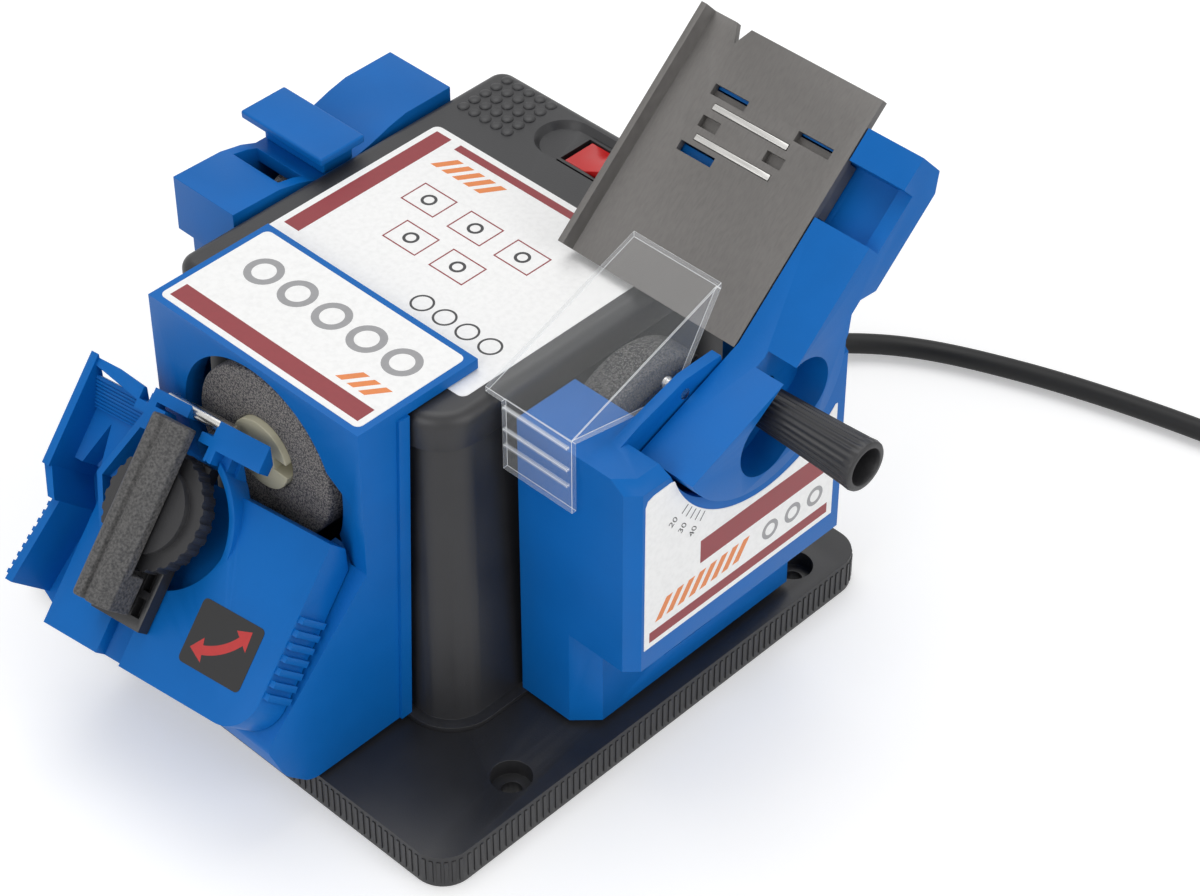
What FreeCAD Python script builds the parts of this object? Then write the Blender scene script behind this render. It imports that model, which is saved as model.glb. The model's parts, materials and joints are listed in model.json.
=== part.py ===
import FreeCAD, Part
import math
import os
import re
from FreeCAD import Placement, Rotation, Vector

# Multi-purpose sharpening machine. Millimetres, +Z up, origin on the base's underside below the housing.
# -Y is the drill side, +X the chisel side, -X the knife side, and the mains lead leaves at +Y.

SIZES = {
    # base plate and its four bolt holes
    "base_width": 164.0, "base_depth": 160.0, "base_middle_y": 3.0, "base_thick": 10.5, "base_corner": 9.0,
    "bolt_pitch_x": 144.0, "bolt_pitch_y": 107.0, "bolt_middle_y": 10.5,
    "bolt_hole": 5.5, "bolt_sink": 11.0, "bolt_sink_deep": 5.0,
    "pad_diameter": 14.0, "pad_thick": 2.5, "pad_inset": 15.0, "pad_inset_x": 27.0,
    "screw_shank": 3.0, "screw_head": 6.0, "screw_head_deep": 2.5, "screw_length": 14.0,
    "seat_gap": 0.1, "run_gap": 0.05, "part_gap": 0.5,
    # drafted motor housing and its top cover
    "foot_half": 51.5, "foot_front": 44.0, "foot_back": 75.0,
    "head_half": 47.0, "head_front": 39.5, "head_back": 74.0,
    "housing_wall": 3.0, "foot_lip": 1.5, "housing_corner": 11.0,
    "cover_lip": 1.5, "cover_wall": 3.0, "cover_round": 3.5, "cover_corner": 5.0,
    # shafts, wheels and motor
    "axis_height": 84.0, "motor_axis_y": 14.0, "shaft_dia": 6.0,
    # levels of the upper pieces, measured from the shafts' axis
    "housing_top": 16.0, "cover_top": 26.0, "drill_top": 29.5, "cradle_z": -2.0,
    "chisel_top": 21.0, "arm_z": 29.0, "plate_z": 28.6, "knob_z": 17.5,
    "guard_front_z": 27.7, "guard_back_z": 46.0, "guard_pin_z": 24.0,
    "knife_top": 27.0, "knife_shelf": 10.0, "guide_top": 32.0,
    # bushes, wheels and the motor's inner pieces
    "bush_dia": 11.0, "bush_length": 8.0,
    "wheel_dia": 48.0, "wheel_bore": 20.0, "hub_flange_dia": 26.0, "hub_flange": 2.0,
    "nut_across": 10.0, "nut_thick": 3.5,
    "chisel_wheel_in": 55.0, "chisel_wheel_wide": 12.0,
    "knife_wheel_in": 55.0, "knife_wheel_wide": 8.0, "knife_wheel_dia": 40.0, "wheel_room": 1.2,
    "drill_wheel_front": 55.5, "drill_wheel_wide": 11.0,
    "can_dia": 42.0, "can_wall": 1.8, "can_left": 41.0, "can_right": 13.0, "end_plate": 3.0,
    "magnet_thick": 3.0, "armature_dia": 30.0, "armature_length": 14.0,
    "commutator_dia": 13.0, "commutator_length": 4.5, "brush_size": 4.0,
    "fan_dia": 34.0, "fan_wide": 6.0, "fan_start": 24.0,
    "gear_teeth": 16.0, "gear_radius": 8.0, "gear_face": 4.0, "tooth_half": 0.62, "tooth_tall": 1.0,
    # drill unit
    "drill_half": 38.0, "drill_front": 57.4, "drill_rear": 18.0,
    "drill_back": 2.0, "drill_wall": 3.0, "drill_front_wall": 6.0, "drill_opening": 55.0,
    "flange_wide": 3.5, "flange_proud": 0.8,
    "belly_front": 93.0, "belly_low": 88.0, "belly_toe": 80.0, "slope_angle": 45.0,
    "belly_round": 3.0, "knee_round": 10.0, "toe_round": 8.0,
    "cradle_y": 60.0, "cradle_clear": 61.3, "cradle_thick": 11.0, "cradle_swing": 6.0,
    "cradle_left": 37.5, "cradle_right": 34.0, "cradle_low": 60.0, "cradle_high": 8.0, "cradle_corner": 10.0,
    "trough_left": 51.0, "trough_wall": 2.5, "trough_deep": 8.0, "trough_rim": 10.0, "trough_knee": 23.0,
    "pivot_up": 22.0, "pivot_dia": 8.0, "pivot_grip": 2.3,
    "holder_x": 14.0, "holder_wide": 17.0, "holder_low": 49.5, "holder_high": 5.0,
    "holder_deep": 3.0, "holder_tall": 4.0, "holder_lift": 0.3, "tongue_wide": 7.0, "groove_gap": 0.6,
    "thumb_dia": 31.5, "thumb_thick": 7.0, "thumb_up": 20.0, "thumb_side": 1.0,
    "thumb_boss_dia": 23.0, "thumb_boss_tall": 2.0, "well_dia": 38.0, "well_deep": 7.5,
    "clamp_wide": 12.0, "clamp_tall": 6.0, "clamp_high": 2.5, "clamp_low": 46.5,
    "post_left": 27.0, "post_right": 4.0, "post_tall": 9.0, "post_thick": 2.6, "post_up": 1.5,
    "flag_left": 12.0, "flag_right": 16.0, "flag_up": 6.3, "rod_dia": 3.5,
    # chisel and plane unit
    "chisel_in": 53.0, "chisel_out": 91.8, "chisel_front": 20.0, "chisel_back": 57.0,
    "chisel_belly": 43.0, "chisel_foot_out": 76.0, "chisel_wall": 3.0,
    "chisel_rib_in": 75.5, "chisel_corner": 3.3, "foot_corner": 6.0, "panel_back": 1.5,
    "vent_front": 9.0, "vent_back": 26.5, "vent_up": 7.0, "vent_tall": 2.0,
    "fin_front": 13.0, "fin_back": 27.0, "fin_tall": 7.6,
    "arm_y": 21.0, "arm_seat_radius": 30.2, "arm_hub_radius": 28.8,
    "arm_in": 79.2, "arm_out": 96.5, "arm_angle": 42.0, "arm_length": 62.0,
    "arm_bend": 1.5, "hub_angle": 21.3,
    "arm_deep": 14.0, "beam_deep": 9.0, "beam_in": 26.0, "notch_up": 23.5, "notch_tall": 4.3,
    "channel_start": 37.0, "channel_wide": 16.0, "channel_deep": 5.0,
    "plate_y": 28.9, "plate_left": 22.0, "plate_right": 78.7,
    "plate_length": 69.5, "plate_thick": 2.2, "plate_room": 0.6, "plate_bevel": 2.1, "plate_edge": 0.55,
    "fence_tall": 5.0, "fence_thick": 1.8, "carriage_in": 30.0, "carriage_out": 78.0,
    "knob_y": 28.0, "knob_start": 88.0, "knob_end": 122.5,
    "knob_root_dia": 11.0, "knob_end_dia": 14.0, "knob_bore": 9.5, "knob_bore_deep": 12.0, "stud_dia": 5.0,
    "slot_long": 34.0, "slot_wide": 19.0, "stud_slot": 14.0,
    "guard_left": 45.0, "guard_right": 74.0, "guard_front": 22.5,
    "guard_back": 29.0, "guard_thick": 1.5, "guard_lip": 23.0,
    "guard_pin_y": 12.0, "guard_pin_dia": 3.0,
    # knife and scissors unit
    "knife_in": 49.5, "knife_foot_in": 53.0, "knife_out": 73.0, "knife_front": 20.0, "knife_back": 57.0,
    "knife_wall": 2.5, "knife_foot_out": 72.5,
    "guide_front": 7.0, "guide_back": 22.5, "guide_over": 4.0,
    # switch on the top cover
    "switch_x": 0.0, "switch_y": 63.4, "switch_long": 19.0, "switch_wide": 13.0, "switch_deep": 16.0,
    "scoop_half": 12.5, "scoop_radius": 8.4, "scoop_draft": 1.5, "scoop_deep": 2.0, "scoop_wall": 2.5,
    "switch_rim": 0.6,
    "rocker_long": 15.5, "rocker_wide": 10.5, "rocker_rise": 4.6, "rocker_pin": 3.0,
    # mains lead
    "lead_dia": 6.2, "relief_z": 22.0, "relief_root": 12.0, "relief_length": 25.0,
    "coil_radius": 48.0, "coil_turns": 3.0, "coil_lift": 1.2, "coil_gap": 1.4, "tie_thick": 0.8,
    "tail_length": 30.0, "plug_length": 40.0, "plug_wide": 27.0, "plug_thick": 13.7,
    "pin_dia": 4.0, "pin_length": 19.0, "pin_pitch": 19.0,
}

# Route of the free lead, from the strain relief's end down to the floor and along it: x, y, z.
LEAD_ROUTE = [
    (0.0, 100.0, 22.0), (0.0, 109.2, 22.0), (1.0, 118.3, 19.9), (2.9, 126.5, 15.9), (5.6, 133.8, 10.7),
    (9.8, 141.2, 6.7), (15.3, 148.5, 4.6), (21.9, 155.1, 4.3), (29.7, 161.0, 4.3), (40.3, 167.1, 4.3),
    (54.0, 173.2, 4.3), (72.0, 180.0, 4.3), (94.0, 186.6, 4.3), (116.0, 192.0, 4.3), (137.0, 196.0, 4.3),
    (155.0, 198.4, 4.3), (170.0, 199.6, 4.3),
]

doc = FreeCAD.newDocument("sharpener")
sheet = doc.addObject("Spreadsheet::Sheet", "sizes")
for row, (alias, number) in enumerate(SIZES.items(), start=1):
    sheet.set("A%d" % row, alias)
    sheet.set("B%d" % row, str(number))
    sheet.setAlias("B%d" % row, alias)
doc.recompute()

ALIAS = re.compile(r"\b(%s)\b" % "|".join(sorted(SIZES, key=len, reverse=True)))
NODES = []


def size(alias):
    """One driving dimension, read from the sheet."""
    return float(sheet.get(alias))


def level(alias):
    """Height above the ground of a level that the sheet gives from the shafts' axis."""
    return size("axis_height") + size(alias)


def bind(thing, prop, formula):
    """Tie a property to a formula of sheet aliases."""
    thing.setExpression(prop, ALIAS.sub(r"sizes.\1", formula))


def box(name, x, y, z):
    """Block between three pairs of formulas."""
    block = doc.addObject("Part::Box", name)
    for prop, axis, (low, high) in (("Length", "x", x), ("Width", "y", y), ("Height", "z", z)):
        bind(block, prop, "(%s) - (%s)" % (high, low))
        bind(block, "Placement.Base." + axis, low)
    return block


TURN = {"x": Rotation(Vector(0, 1, 0), 90), "y": Rotation(Vector(1, 0, 0), -90), "z": Rotation()}


def rod(name, axis, diameter, low, high, centre):
    """Round bar along one axis, from low to high; centre holds the two other coordinates in order."""
    bar = doc.addObject("Part::Cylinder", name)
    bar.Placement = Placement(Vector(), TURN[axis])
    bind(bar, "Radius", "(%s) / 2" % diameter)
    bind(bar, "Height", "(%s) - (%s)" % (high, low))
    others = [letter for letter in "xyz" if letter != axis]
    bind(bar, "Placement.Base." + axis, low)
    for letter, formula in zip(others, centre):
        bind(bar, "Placement.Base." + letter, formula)
    return bar


def cone(name, axis, first, second, low, high, centre):
    """Tapered bar along one axis, from diameter first at low to second at high."""
    bar = doc.addObject("Part::Cone", name)
    bar.Placement = Placement(Vector(), TURN[axis])
    bind(bar, "Radius1", "(%s) / 2" % first)
    bind(bar, "Radius2", "(%s) / 2" % second)
    bind(bar, "Height", "(%s) - (%s)" % (high, low))
    others = [letter for letter in "xyz" if letter != axis]
    bind(bar, "Placement.Base." + axis, low)
    for letter, formula in zip(others, centre):
        bind(bar, "Placement.Base." + letter, formula)
    return bar


def made(name, shape, placement=None):
    """Shape that is worked out in this script from the sheet's values."""
    thing = doc.addObject("Part::Feature", name)
    thing.Shape = shape
    if placement:
        thing.Placement = placement
    return thing


def fuse(name, *parts):
    joined = doc.addObject("Part::MultiFuse", name)
    joined.Shapes = list(parts)
    joined.Refine = True
    return joined


def cut(name, base, *tools):
    removed = doc.addObject("Part::Cut", name)
    removed.Base = base
    removed.Tool = tools[0] if len(tools) == 1 else fuse(name + "_tools", *tools)
    removed.Refine = True
    return removed


def group(name, *parts):
    """Several like solids in one node."""
    bunch = doc.addObject("Part::Compound", name)
    bunch.Links = list(parts)
    return bunch


def node(label, thing):
    """Name a finished piece; its label names its file."""
    thing.Label = label
    NODES.append(thing)
    return thing


def rounded(name, base, alias, chosen):
    """Fillet on the edges that the chooser picks."""
    doc.recompute()
    fillet = doc.addObject("Part::Fillet", name)
    fillet.Base = base
    radius = size(alias)
    edges = enumerate(base.Shape.Edges, start=1)
    fillet.Edges = [(index, radius, radius) for index, edge in edges if chosen(edge)]
    return fillet


def upright(edge):
    """True for a straight vertical edge."""
    first, last = edge.Vertexes[0].Point, edge.Vertexes[-1].Point
    return abs(first.x - last.x) < 0.01 and abs(first.y - last.y) < 0.01


def prism(points, axis, low, high):
    """Solid from a polygon in the plane across an axis: (y, z) for x, (x, z) for y, (x, y) for z."""
    order = {"x": lambda a, b: Vector(low, a, b), "y": lambda a, b: Vector(a, low, b),
             "z": lambda a, b: Vector(a, b, low)}[axis]
    corners = [order(a, b) for a, b in points]
    face = Part.Face(Part.makePolygon(corners + corners[:1]))
    along = {"x": Vector(high - low, 0, 0), "y": Vector(0, high - low, 0), "z": Vector(0, 0, high - low)}
    return face.extrude(along[axis])


def block(x0, x1, y0, y1, z0, z1):
    return Part.makeBox(x1 - x0, y1 - y0, z1 - z0, Vector(x0, y0, z0))


def round_frame(x0, x1, y0, y1, radius, z, other=None):
    """Closed rectangle with round corners at one height; other is for all but the front right corner."""
    rest = other or radius
    corners = [(x1, y0, -90, radius), (x1, y1, 0, rest), (x0, y1, 90, rest), (x0, y0, 180, rest)]
    arcs = []
    for x, y, start, radius in corners:
        centre = Vector(x - math.copysign(radius, x - (x0 + x1) / 2),
                        y - math.copysign(radius, y - (y0 + y1) / 2), z)
        ends = [centre + radius * Vector(math.cos(math.radians(start + turn)),
                                         math.sin(math.radians(start + turn)), 0) for turn in (0, 45, 90)]
        arcs.append(Part.Arc(*ends).toShape())
    edges = []
    for arc, following in zip(arcs, arcs[1:] + arcs[:1]):
        edges.append(arc)
        edges.append(Part.LineSegment(arc.Vertexes[-1].Point, following.Vertexes[0].Point).toShape())
    return Part.Wire(edges)


# Base plate, pads and screws

def base_plate():
    slab = box("base_slab", ("-base_width / 2", "base_width / 2"),
               ("base_middle_y - base_depth / 2", "base_middle_y + base_depth / 2"), ("0", "base_thick"))
    slab = rounded("base_rounded", slab, "base_corner", upright)
    tools = []
    for side_x in (-1, 1):
        for side_y in (-1, 1):
            tag = "_%d_%d" % (side_x + 1, side_y + 1)
            place = ("%d * bolt_pitch_x / 2" % side_x, "bolt_middle_y + %d * bolt_pitch_y / 2" % side_y)
            tools.append(rod("bolt_hole_cut" + tag, "z", "bolt_hole", "-1", "base_thick + 1", place))
            tools.append(rod("bolt_sink_cut" + tag, "z", "bolt_sink", "base_thick - bolt_sink_deep",
                             "base_thick + 1", place))
            corner = pad_place(side_x, side_y)
            tools.append(rod("pad_cut" + tag, "z", "pad_diameter + 2 * seat_gap", "-1", "pad_thick", corner))
            spot = screw_place(side_x, side_y)
            tools.append(rod("screw_cut" + tag, "z", "screw_shank + 2 * seat_gap", "-1",
                             "base_thick + 1", spot))
            tools.append(rod("screw_sink" + tag, "z", "screw_head + 2 * seat_gap", "-1",
                             "screw_head_deep + 1", spot))
    return node("base_plate", cut("base_drilled", slab, *tools))


def pad_place(side_x, side_y):
    return ("%d * (base_width / 2 - pad_inset_x)" % side_x,
            "base_middle_y + %d * (base_depth / 2 - pad_inset)" % side_y)


def screw_place(side_x, side_y):
    near = "-foot_front + housing_corner" if side_y < 0 else "foot_back - housing_corner"
    return ("%d * (foot_half - housing_corner)" % side_x, near)


def rubber_pads():
    pads = []
    for side_x in (-1, 1):
        for side_y in (-1, 1):
            pads.append(rod("pad_%d_%d" % (side_x + 1, side_y + 1), "z", "pad_diameter", "0", "pad_thick",
                            pad_place(side_x, side_y)))
    return node("rubber_pads", group("pads", *pads))


def base_screws():
    screws = []
    for side_x in (-1, 1):
        for side_y in (-1, 1):
            tag = "_%d_%d" % (side_x + 1, side_y + 1)
            spot = screw_place(side_x, side_y)
            head = rod("screw_head_rod" + tag, "z", "screw_head", "1", "screw_head_deep + 1", spot)
            shank = rod("screw_shank_rod" + tag, "z", "screw_shank", "1",
                        "1 + screw_head_deep + screw_length", spot)
            screws.append(fuse("screw" + tag, head, shank))
    return node("base_screws", group("screws", *screws))


# Motor housing and top cover

def housing_half(height):
    """Half width of the drafted housing at a height."""
    share = (height - size("base_thick")) / (level("housing_top") - size("base_thick"))
    return size("foot_half") + share * (size("head_half") - size("foot_half"))


def housing_front(height):
    """Distance of the housing's front face from the middle at a height."""
    share = (height - size("base_thick")) / (level("housing_top") - size("base_thick"))
    return size("foot_front") + share * (size("head_front") - size("foot_front"))


def unit_floor():
    """Height of the housing's foot lip, on which the three sharpening units stand."""
    return size("base_thick") + size("foot_lip")


def drafted(inset, low, high):
    """Drafted body of the housing, moved in by a wall."""
    corner = size("housing_corner") - inset
    frames = []
    for half, front, back, z in ((size("foot_half"), size("foot_front"), size("foot_back"), low),
                                 (size("head_half"), size("head_front"), size("head_back"), high)):
        frames.append(round_frame(inset - half, half - inset, inset - front, back - inset, corner, z))
    return Part.makeLoft(frames, True, True)


def motor_housing():
    wall, low, top = size("housing_wall"), size("base_thick"), level("housing_top")
    shell = drafted(0, low, top)
    lip = round_frame(-size("foot_half") - wall, size("foot_half") + wall, -size("foot_front") - wall,
                      size("foot_back") + wall / 2, size("housing_corner") + wall, low)
    shell = shell.fuse(Part.Face(lip).extrude(Vector(0, 0, size("foot_lip"))))
    shell = shell.cut(drafted(wall, low, top))
    y, z = size("motor_axis_y"), size("axis_height")
    boss_radius = size("bush_dia") / 2 + wall
    right_in = housing_half(z) - size("bush_length")
    boss = Part.makeCylinder(boss_radius, size("bush_length") - wall / 2, Vector(right_in, y, z),
                             Vector(1, 0, 0))
    shell = shell.fuse(boss)
    bore = size("bush_dia") / 2 + size("seat_gap")
    shell = shell.cut(Part.makeCylinder(bore, size("foot_half"), Vector(right_in - 1, y, z), Vector(1, 0, 0)))
    left_hole = size("shaft_dia") / 2 + 2
    shell = shell.cut(Part.makeCylinder(left_hole, size("foot_half"), Vector(-size("foot_half") - 1, y, z),
                                        Vector(1, 0, 0)))
    front = Vector(0, -size("foot_front") - 1, z)
    shell = shell.cut(Part.makeCylinder(block_radius() + size("seat_gap"), size("foot_front") / 2, front,
                                        Vector(0, 1, 0)))
    relief = Vector(0, size("foot_back") - 4 * wall, size("relief_z"))
    shell = shell.cut(Part.makeCylinder(size("relief_root") / 2 - 1.5, 6 * wall, relief, Vector(0, 1, 0)))
    return node("motor_housing", made("housing", shell))


def top_cover():
    lip, wall, low, top = size("cover_lip"), size("cover_wall"), level("housing_top"), level("cover_top")
    half, front, back = size("head_half") + lip, size("head_front") + lip, size("head_back") + lip
    corner, small = size("housing_corner") + lip, size("cover_corner")
    outline = round_frame(-half, half, -front, back, corner, low, small)
    cap = Part.Face(outline).extrude(Vector(0, 0, top - low))
    rim = [edge for edge in cap.Edges if abs(edge.BoundBox.ZMin - top) < 0.01]
    cap = cap.makeFillet(size("cover_round"), rim)
    room = round_frame(wall - half, half - wall, wall - front, back - wall, corner - wall, low, small - wall)
    room = Part.Face(room).extrude(Vector(0, 0, top - low - wall))
    deep, skin = size("scoop_deep"), size("scoop_wall")
    cap = cap.cut(room.cut(finger_scoop(top - deep - skin, skin, skin)))
    cap = cap.cut(finger_scoop(top - deep, 0, 2 * deep))
    x, y, gap = size("switch_x"), size("switch_y"), size("seat_gap")
    long, wide = size("switch_long") / 2 + gap, size("switch_wide") / 2 + gap
    cap = cap.cut(block(x - long, x + long, y - wide, y + wide, low, top + 1))
    return node("top_cover", made("cover", cap))


def finger_scoop(low, grown, tall):
    """Long round-ended dish about the switch, with sloped sides, larger by grown all round."""
    x, y, half = size("switch_x"), size("switch_y"), size("scoop_half")
    slope = size("scoop_draft") / size("scoop_deep")
    floor = size("scoop_radius") - size("scoop_draft") + grown
    mouth = floor + slope * tall
    dish = prism([(y - floor, low), (y + floor, low), (y + mouth, low + tall), (y - mouth, low + tall)],
                 "x", x - half, x + half)
    for end in (x - half, x + half):
        dish = dish.fuse(Part.makeCone(floor, mouth, tall, Vector(end, y, low)))
    return dish


# Motor on the long shaft

def axis_rod(name, diameter, low, high):
    return rod(name, "x", diameter, low, high, ("motor_axis_y", "axis_height"))


def motor_can():
    tube = axis_rod("can_outside", "can_dia", "-can_left", "-can_right")
    room = axis_rod("can_inside", "can_dia - 2 * can_wall", "-can_left - 1", "-can_right + 1")
    return node("motor_can", cut("can_tube", tube, room))


def motor_saddle():
    body = box("saddle_block", ("-can_left + 4", "-can_right - 4"),
               ("motor_axis_y - can_dia / 4", "motor_axis_y + can_dia / 4"), ("base_thick", "axis_height"))
    seat = axis_rod("saddle_seat", "can_dia + 2 * seat_gap", "-can_left", "-can_right")
    return node("motor_saddle", cut("saddle", body, seat))


def motor_magnets():
    inner = size("can_dia") / 2 - size("can_wall") - size("magnet_thick")
    outer = size("can_dia") / 2 - size("can_wall") - size("seat_gap")
    start = -size("can_left") + size("end_plate") + 2
    length = size("armature_length") + 1.5
    arcs = []
    for side in (0, 180):
        base = Vector(start, size("motor_axis_y"), size("axis_height"))
        ring = Part.makeCylinder(outer, length, base, Vector(1, 0, 0), 130)
        ring = ring.cut(Part.makeCylinder(inner, length, base, Vector(1, 0, 0)))
        ring.rotate(base, Vector(1, 0, 0), side)
        arcs.append(ring)
    return node("motor_magnets", made("magnets", Part.makeCompound(arcs)))


def end_disc(label, low, high):
    disc = axis_rod(label + "_disc", "can_dia", low, high)
    bore = axis_rod(label + "_bore", "bush_dia + 2 * seat_gap", low + " - 1", high + " + 1")
    return node(label, cut(label + "_ring", disc, bore))


def motor_ends():
    end_disc("motor_end_bell", "-can_left - end_plate", "-can_left")
    end_disc("motor_end_plate", "-can_right", "-can_right + end_plate")


def bush(name, low, high):
    ring = axis_rod(name + "_ring", "bush_dia", low, high)
    bore = axis_rod(name + "_bore", "shaft_dia + 2 * run_gap", low + " - 1", high + " + 1")
    return cut(name, ring, bore)


def shaft_bushes():
    right = repr(housing_half(size("axis_height")))
    bushes = [bush("bush_left", "-can_left - end_plate", "-can_left"),
              bush("bush_middle", "-can_right", "-can_right + end_plate"),
              bush("bush_right", right + " - bush_length", right + " - 1")]
    return node("shaft_bushes", group("bushes", *bushes))


def carbon_brushes():
    brushes = []
    for side in (-1, 1):
        low = "%d * (commutator_dia / 2 + run_gap)" % side
        high = "%d * (can_dia / 2 - can_wall - 2)" % side
        ends = (low, high) if side > 0 else (high, low)
        x = "-can_right - end_plate - commutator_length / 2"
        brushes.append(box("brush_%d" % (side + 1), (x + " - brush_size / 2", x + " + brush_size / 2"),
                           ("motor_axis_y - brush_size / 2", "motor_axis_y + brush_size / 2"),
                           ("axis_height + " + ends[0], "axis_height + " + ends[1])))
    return node("carbon_brushes", group("brushes", *brushes))


def rectifier_board():
    floor = "base_thick + housing_wall"
    board = box("board", ("10", "40"), ("40", "62"), (floor, floor + " + 1.6"))
    cap = rod("board_capacitor", "z", "9", floor + " + 1.6", floor + " + 16", ("18", "51"))
    terminal = box("board_terminal", ("28", "38"), ("44", "58"), (floor + " + 1.6", floor + " + 11"))
    stand = box("board_stand", ("20", "30"), ("46", "56"), ("base_thick", floor))
    return node("rectifier_board", fuse("board_set", board, cap, terminal, stand))


def motor_shaft():
    reach = "chisel_wheel_in + chisel_wheel_wide + nut_thick + 1"
    left = "-(knife_wheel_in + knife_wheel_wide + nut_thick + 1)"
    return node("motor_shaft", axis_rod("long_shaft", "shaft_dia", left, reach))


def on_shaft(label, diameter, low, high):
    """Round piece pressed on the long shaft."""
    drum = axis_rod(label + "_drum", diameter, low, high)
    bore = axis_rod(label + "_bore", "shaft_dia", low + " - 1", high + " + 1")
    return node(label, cut(label + "_turned", drum, bore))


def armature():
    start = "-can_left + end_plate + 3"
    drum = axis_rod("armature_drum", "armature_dia", start, start + " + armature_length")
    bore = axis_rod("armature_bore", "shaft_dia", start + " - 1", start + " + armature_length + 1")
    slots = []
    for index in range(10):
        slot = box("armature_slot_%d" % index, ("-can_left", "-can_right"), ("-0.9", "0.9"),
                   ("armature_dia / 2 - 4", "armature_dia"))
        spin = doc.addObject("Part::Feature", "armature_cut_%d" % index)
        doc.recompute()
        groove = slot.Shape.copy()
        groove.rotate(Vector(), Vector(1, 0, 0), 36 * index)
        groove.translate(Vector(0, size("motor_axis_y"), size("axis_height")))
        spin.Shape = groove
        slots.append(spin)
    return node("armature", cut("armature_slotted", drum, bore, *slots))


def commutator():
    low = "-can_right - end_plate - commutator_length"
    on_shaft("commutator", "commutator_dia", low, "-can_right - end_plate")


def cooling_fan():
    blades = []
    inner, outer, wide = size("shaft_dia") / 2 + 3, size("fan_dia") / 2, size("fan_wide")
    start, y, z = size("fan_start"), size("motor_axis_y"), size("axis_height")
    hub = Part.makeCylinder(inner + 1, wide, Vector(start, 0, 0), Vector(1, 0, 0))
    back = Part.makeCylinder(outer, 1.2, Vector(start + wide - 1.2, 0, 0), Vector(1, 0, 0))
    for index in range(9):
        blade = block(start, start + wide, -0.6, 0.6, inner, outer)
        blade.rotate(Vector(), Vector(1, 0, 0), 40 * index)
        blades.append(blade)
    fan = hub.fuse([back] + blades)
    bore = Part.makeCylinder(size("shaft_dia") / 2, 3 * wide, Vector(start - wide, 0, 0), Vector(1, 0, 0))
    fan = fan.cut(bore)
    fan.translate(Vector(0, y, z))
    return node("cooling_fan", made("fan", fan))


# Grinding wheels, each on a slotted hub

def wheel(label, axis, low, high, centre, diameter="wheel_dia"):
    stone = rod(label + "_stone", axis, diameter, low, high, centre)
    bore = rod(label + "_bore", axis, "wheel_bore", low + " - 1", high + " + 1", centre)
    return node(label, cut(label + "_ring", stone, bore))


def hub(label, axis, face, inside, centre):
    """Hub with a flange at face and a barrel through the wheel."""
    low, high = inside
    flange = rod(label + "_flange", axis, "hub_flange_dia", face[0], face[1], centre)
    barrel = rod(label + "_barrel", axis, "wheel_bore", low, high, centre)
    bore = rod(label + "_bore", axis, "shaft_dia", "-200", "200", centre)
    return node(label, cut(label + "_turned", fuse(label + "_body", flange, barrel), bore))


def nut(x):
    """Hexagon nut on the long shaft, from x outward."""
    y, z = size("motor_axis_y"), size("axis_height")
    radius = size("nut_across") / math.sqrt(3)
    points = []
    for index in range(6):
        angle = math.radians(60 * index)
        points.append((y + radius * math.cos(angle), z + radius * math.sin(angle)))
    low, high = sorted((x, x + math.copysign(size("nut_thick"), x)))
    shape = prism(points, "x", low, high)
    bore = Part.makeCylinder(size("shaft_dia") / 2, 3 * (high - low), Vector(low - 5, y, z), Vector(1, 0, 0))
    return shape.cut(bore)


def side_wheels():
    centre = ("motor_axis_y", "axis_height")
    wheel("chisel_wheel", "x", "chisel_wheel_in", "chisel_wheel_in + chisel_wheel_wide", centre)
    hub("chisel_wheel_hub", "x", ("chisel_wheel_in - hub_flange", "chisel_wheel_in"),
        ("chisel_wheel_in", "chisel_wheel_in + chisel_wheel_wide"), centre)
    wheel("knife_wheel", "x", "-knife_wheel_in - knife_wheel_wide", "-knife_wheel_in", centre,
          "knife_wheel_dia")
    hub("knife_wheel_hub", "x", ("-knife_wheel_in", "-knife_wheel_in + hub_flange"),
        ("-knife_wheel_in - knife_wheel_wide", "-knife_wheel_in"), centre)
    right = size("chisel_wheel_in") + size("chisel_wheel_wide")
    left = size("knife_wheel_in") + size("knife_wheel_wide")
    node("wheel_nuts", made("nuts", Part.makeCompound([nut(right), nut(-left)])))


# Bevel gears that turn the drive towards the drill wheel

def bevel_gear(half_step):
    """Straight bevel gear on +X with its apex at the origin; half_step turns it by half a tooth pitch."""
    teeth, radius, face = int(size("gear_teeth")), size("gear_radius"), size("gear_face")
    tall, half = size("tooth_tall"), size("tooth_half")
    small = 1 - face / (radius * math.sqrt(2))
    low = tall * 1.35 / math.sqrt(2)
    root = [(radius + low, radius - low), (small * (radius + low), small * (radius - low))]
    back = radius + low + 4
    bore = size("shaft_dia") / 2
    outline = [(root[1][0], bore), root[1], root[0], (back, root[0][1]), (back, bore)]
    corners = [Vector(x, r, 0) for x, r in outline]
    blank = Part.Face(Part.makePolygon(corners + corners[:1])).revolve(Vector(), Vector(1, 0, 0), 360)
    rise = tall / math.sqrt(2)
    sink = low + 0.6
    ends = []
    for scale in (1.0, small):
        quad = []
        for step, wide in ((-sink, 1.55), (rise, 0.72)):
            quad.append(((radius - step) * scale, (radius + step) * scale, wide * half * scale))
        (x0, r0, w0), (x1, r1, w1) = quad
        ends.append(Part.makePolygon([Vector(x0, r0, -w0), Vector(x1, r1, -w1), Vector(x1, r1, w1),
                                      Vector(x0, r0, w0), Vector(x0, r0, -w0)]))
    tooth = Part.makeLoft(ends, True, True)
    copies = []
    for index in range(teeth):
        copy = tooth.copy()
        copy.rotate(Vector(), Vector(1, 0, 0), (index + half_step) * 360.0 / teeth)
        copies.append(copy)
    return blank.fuse(copies)


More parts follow.
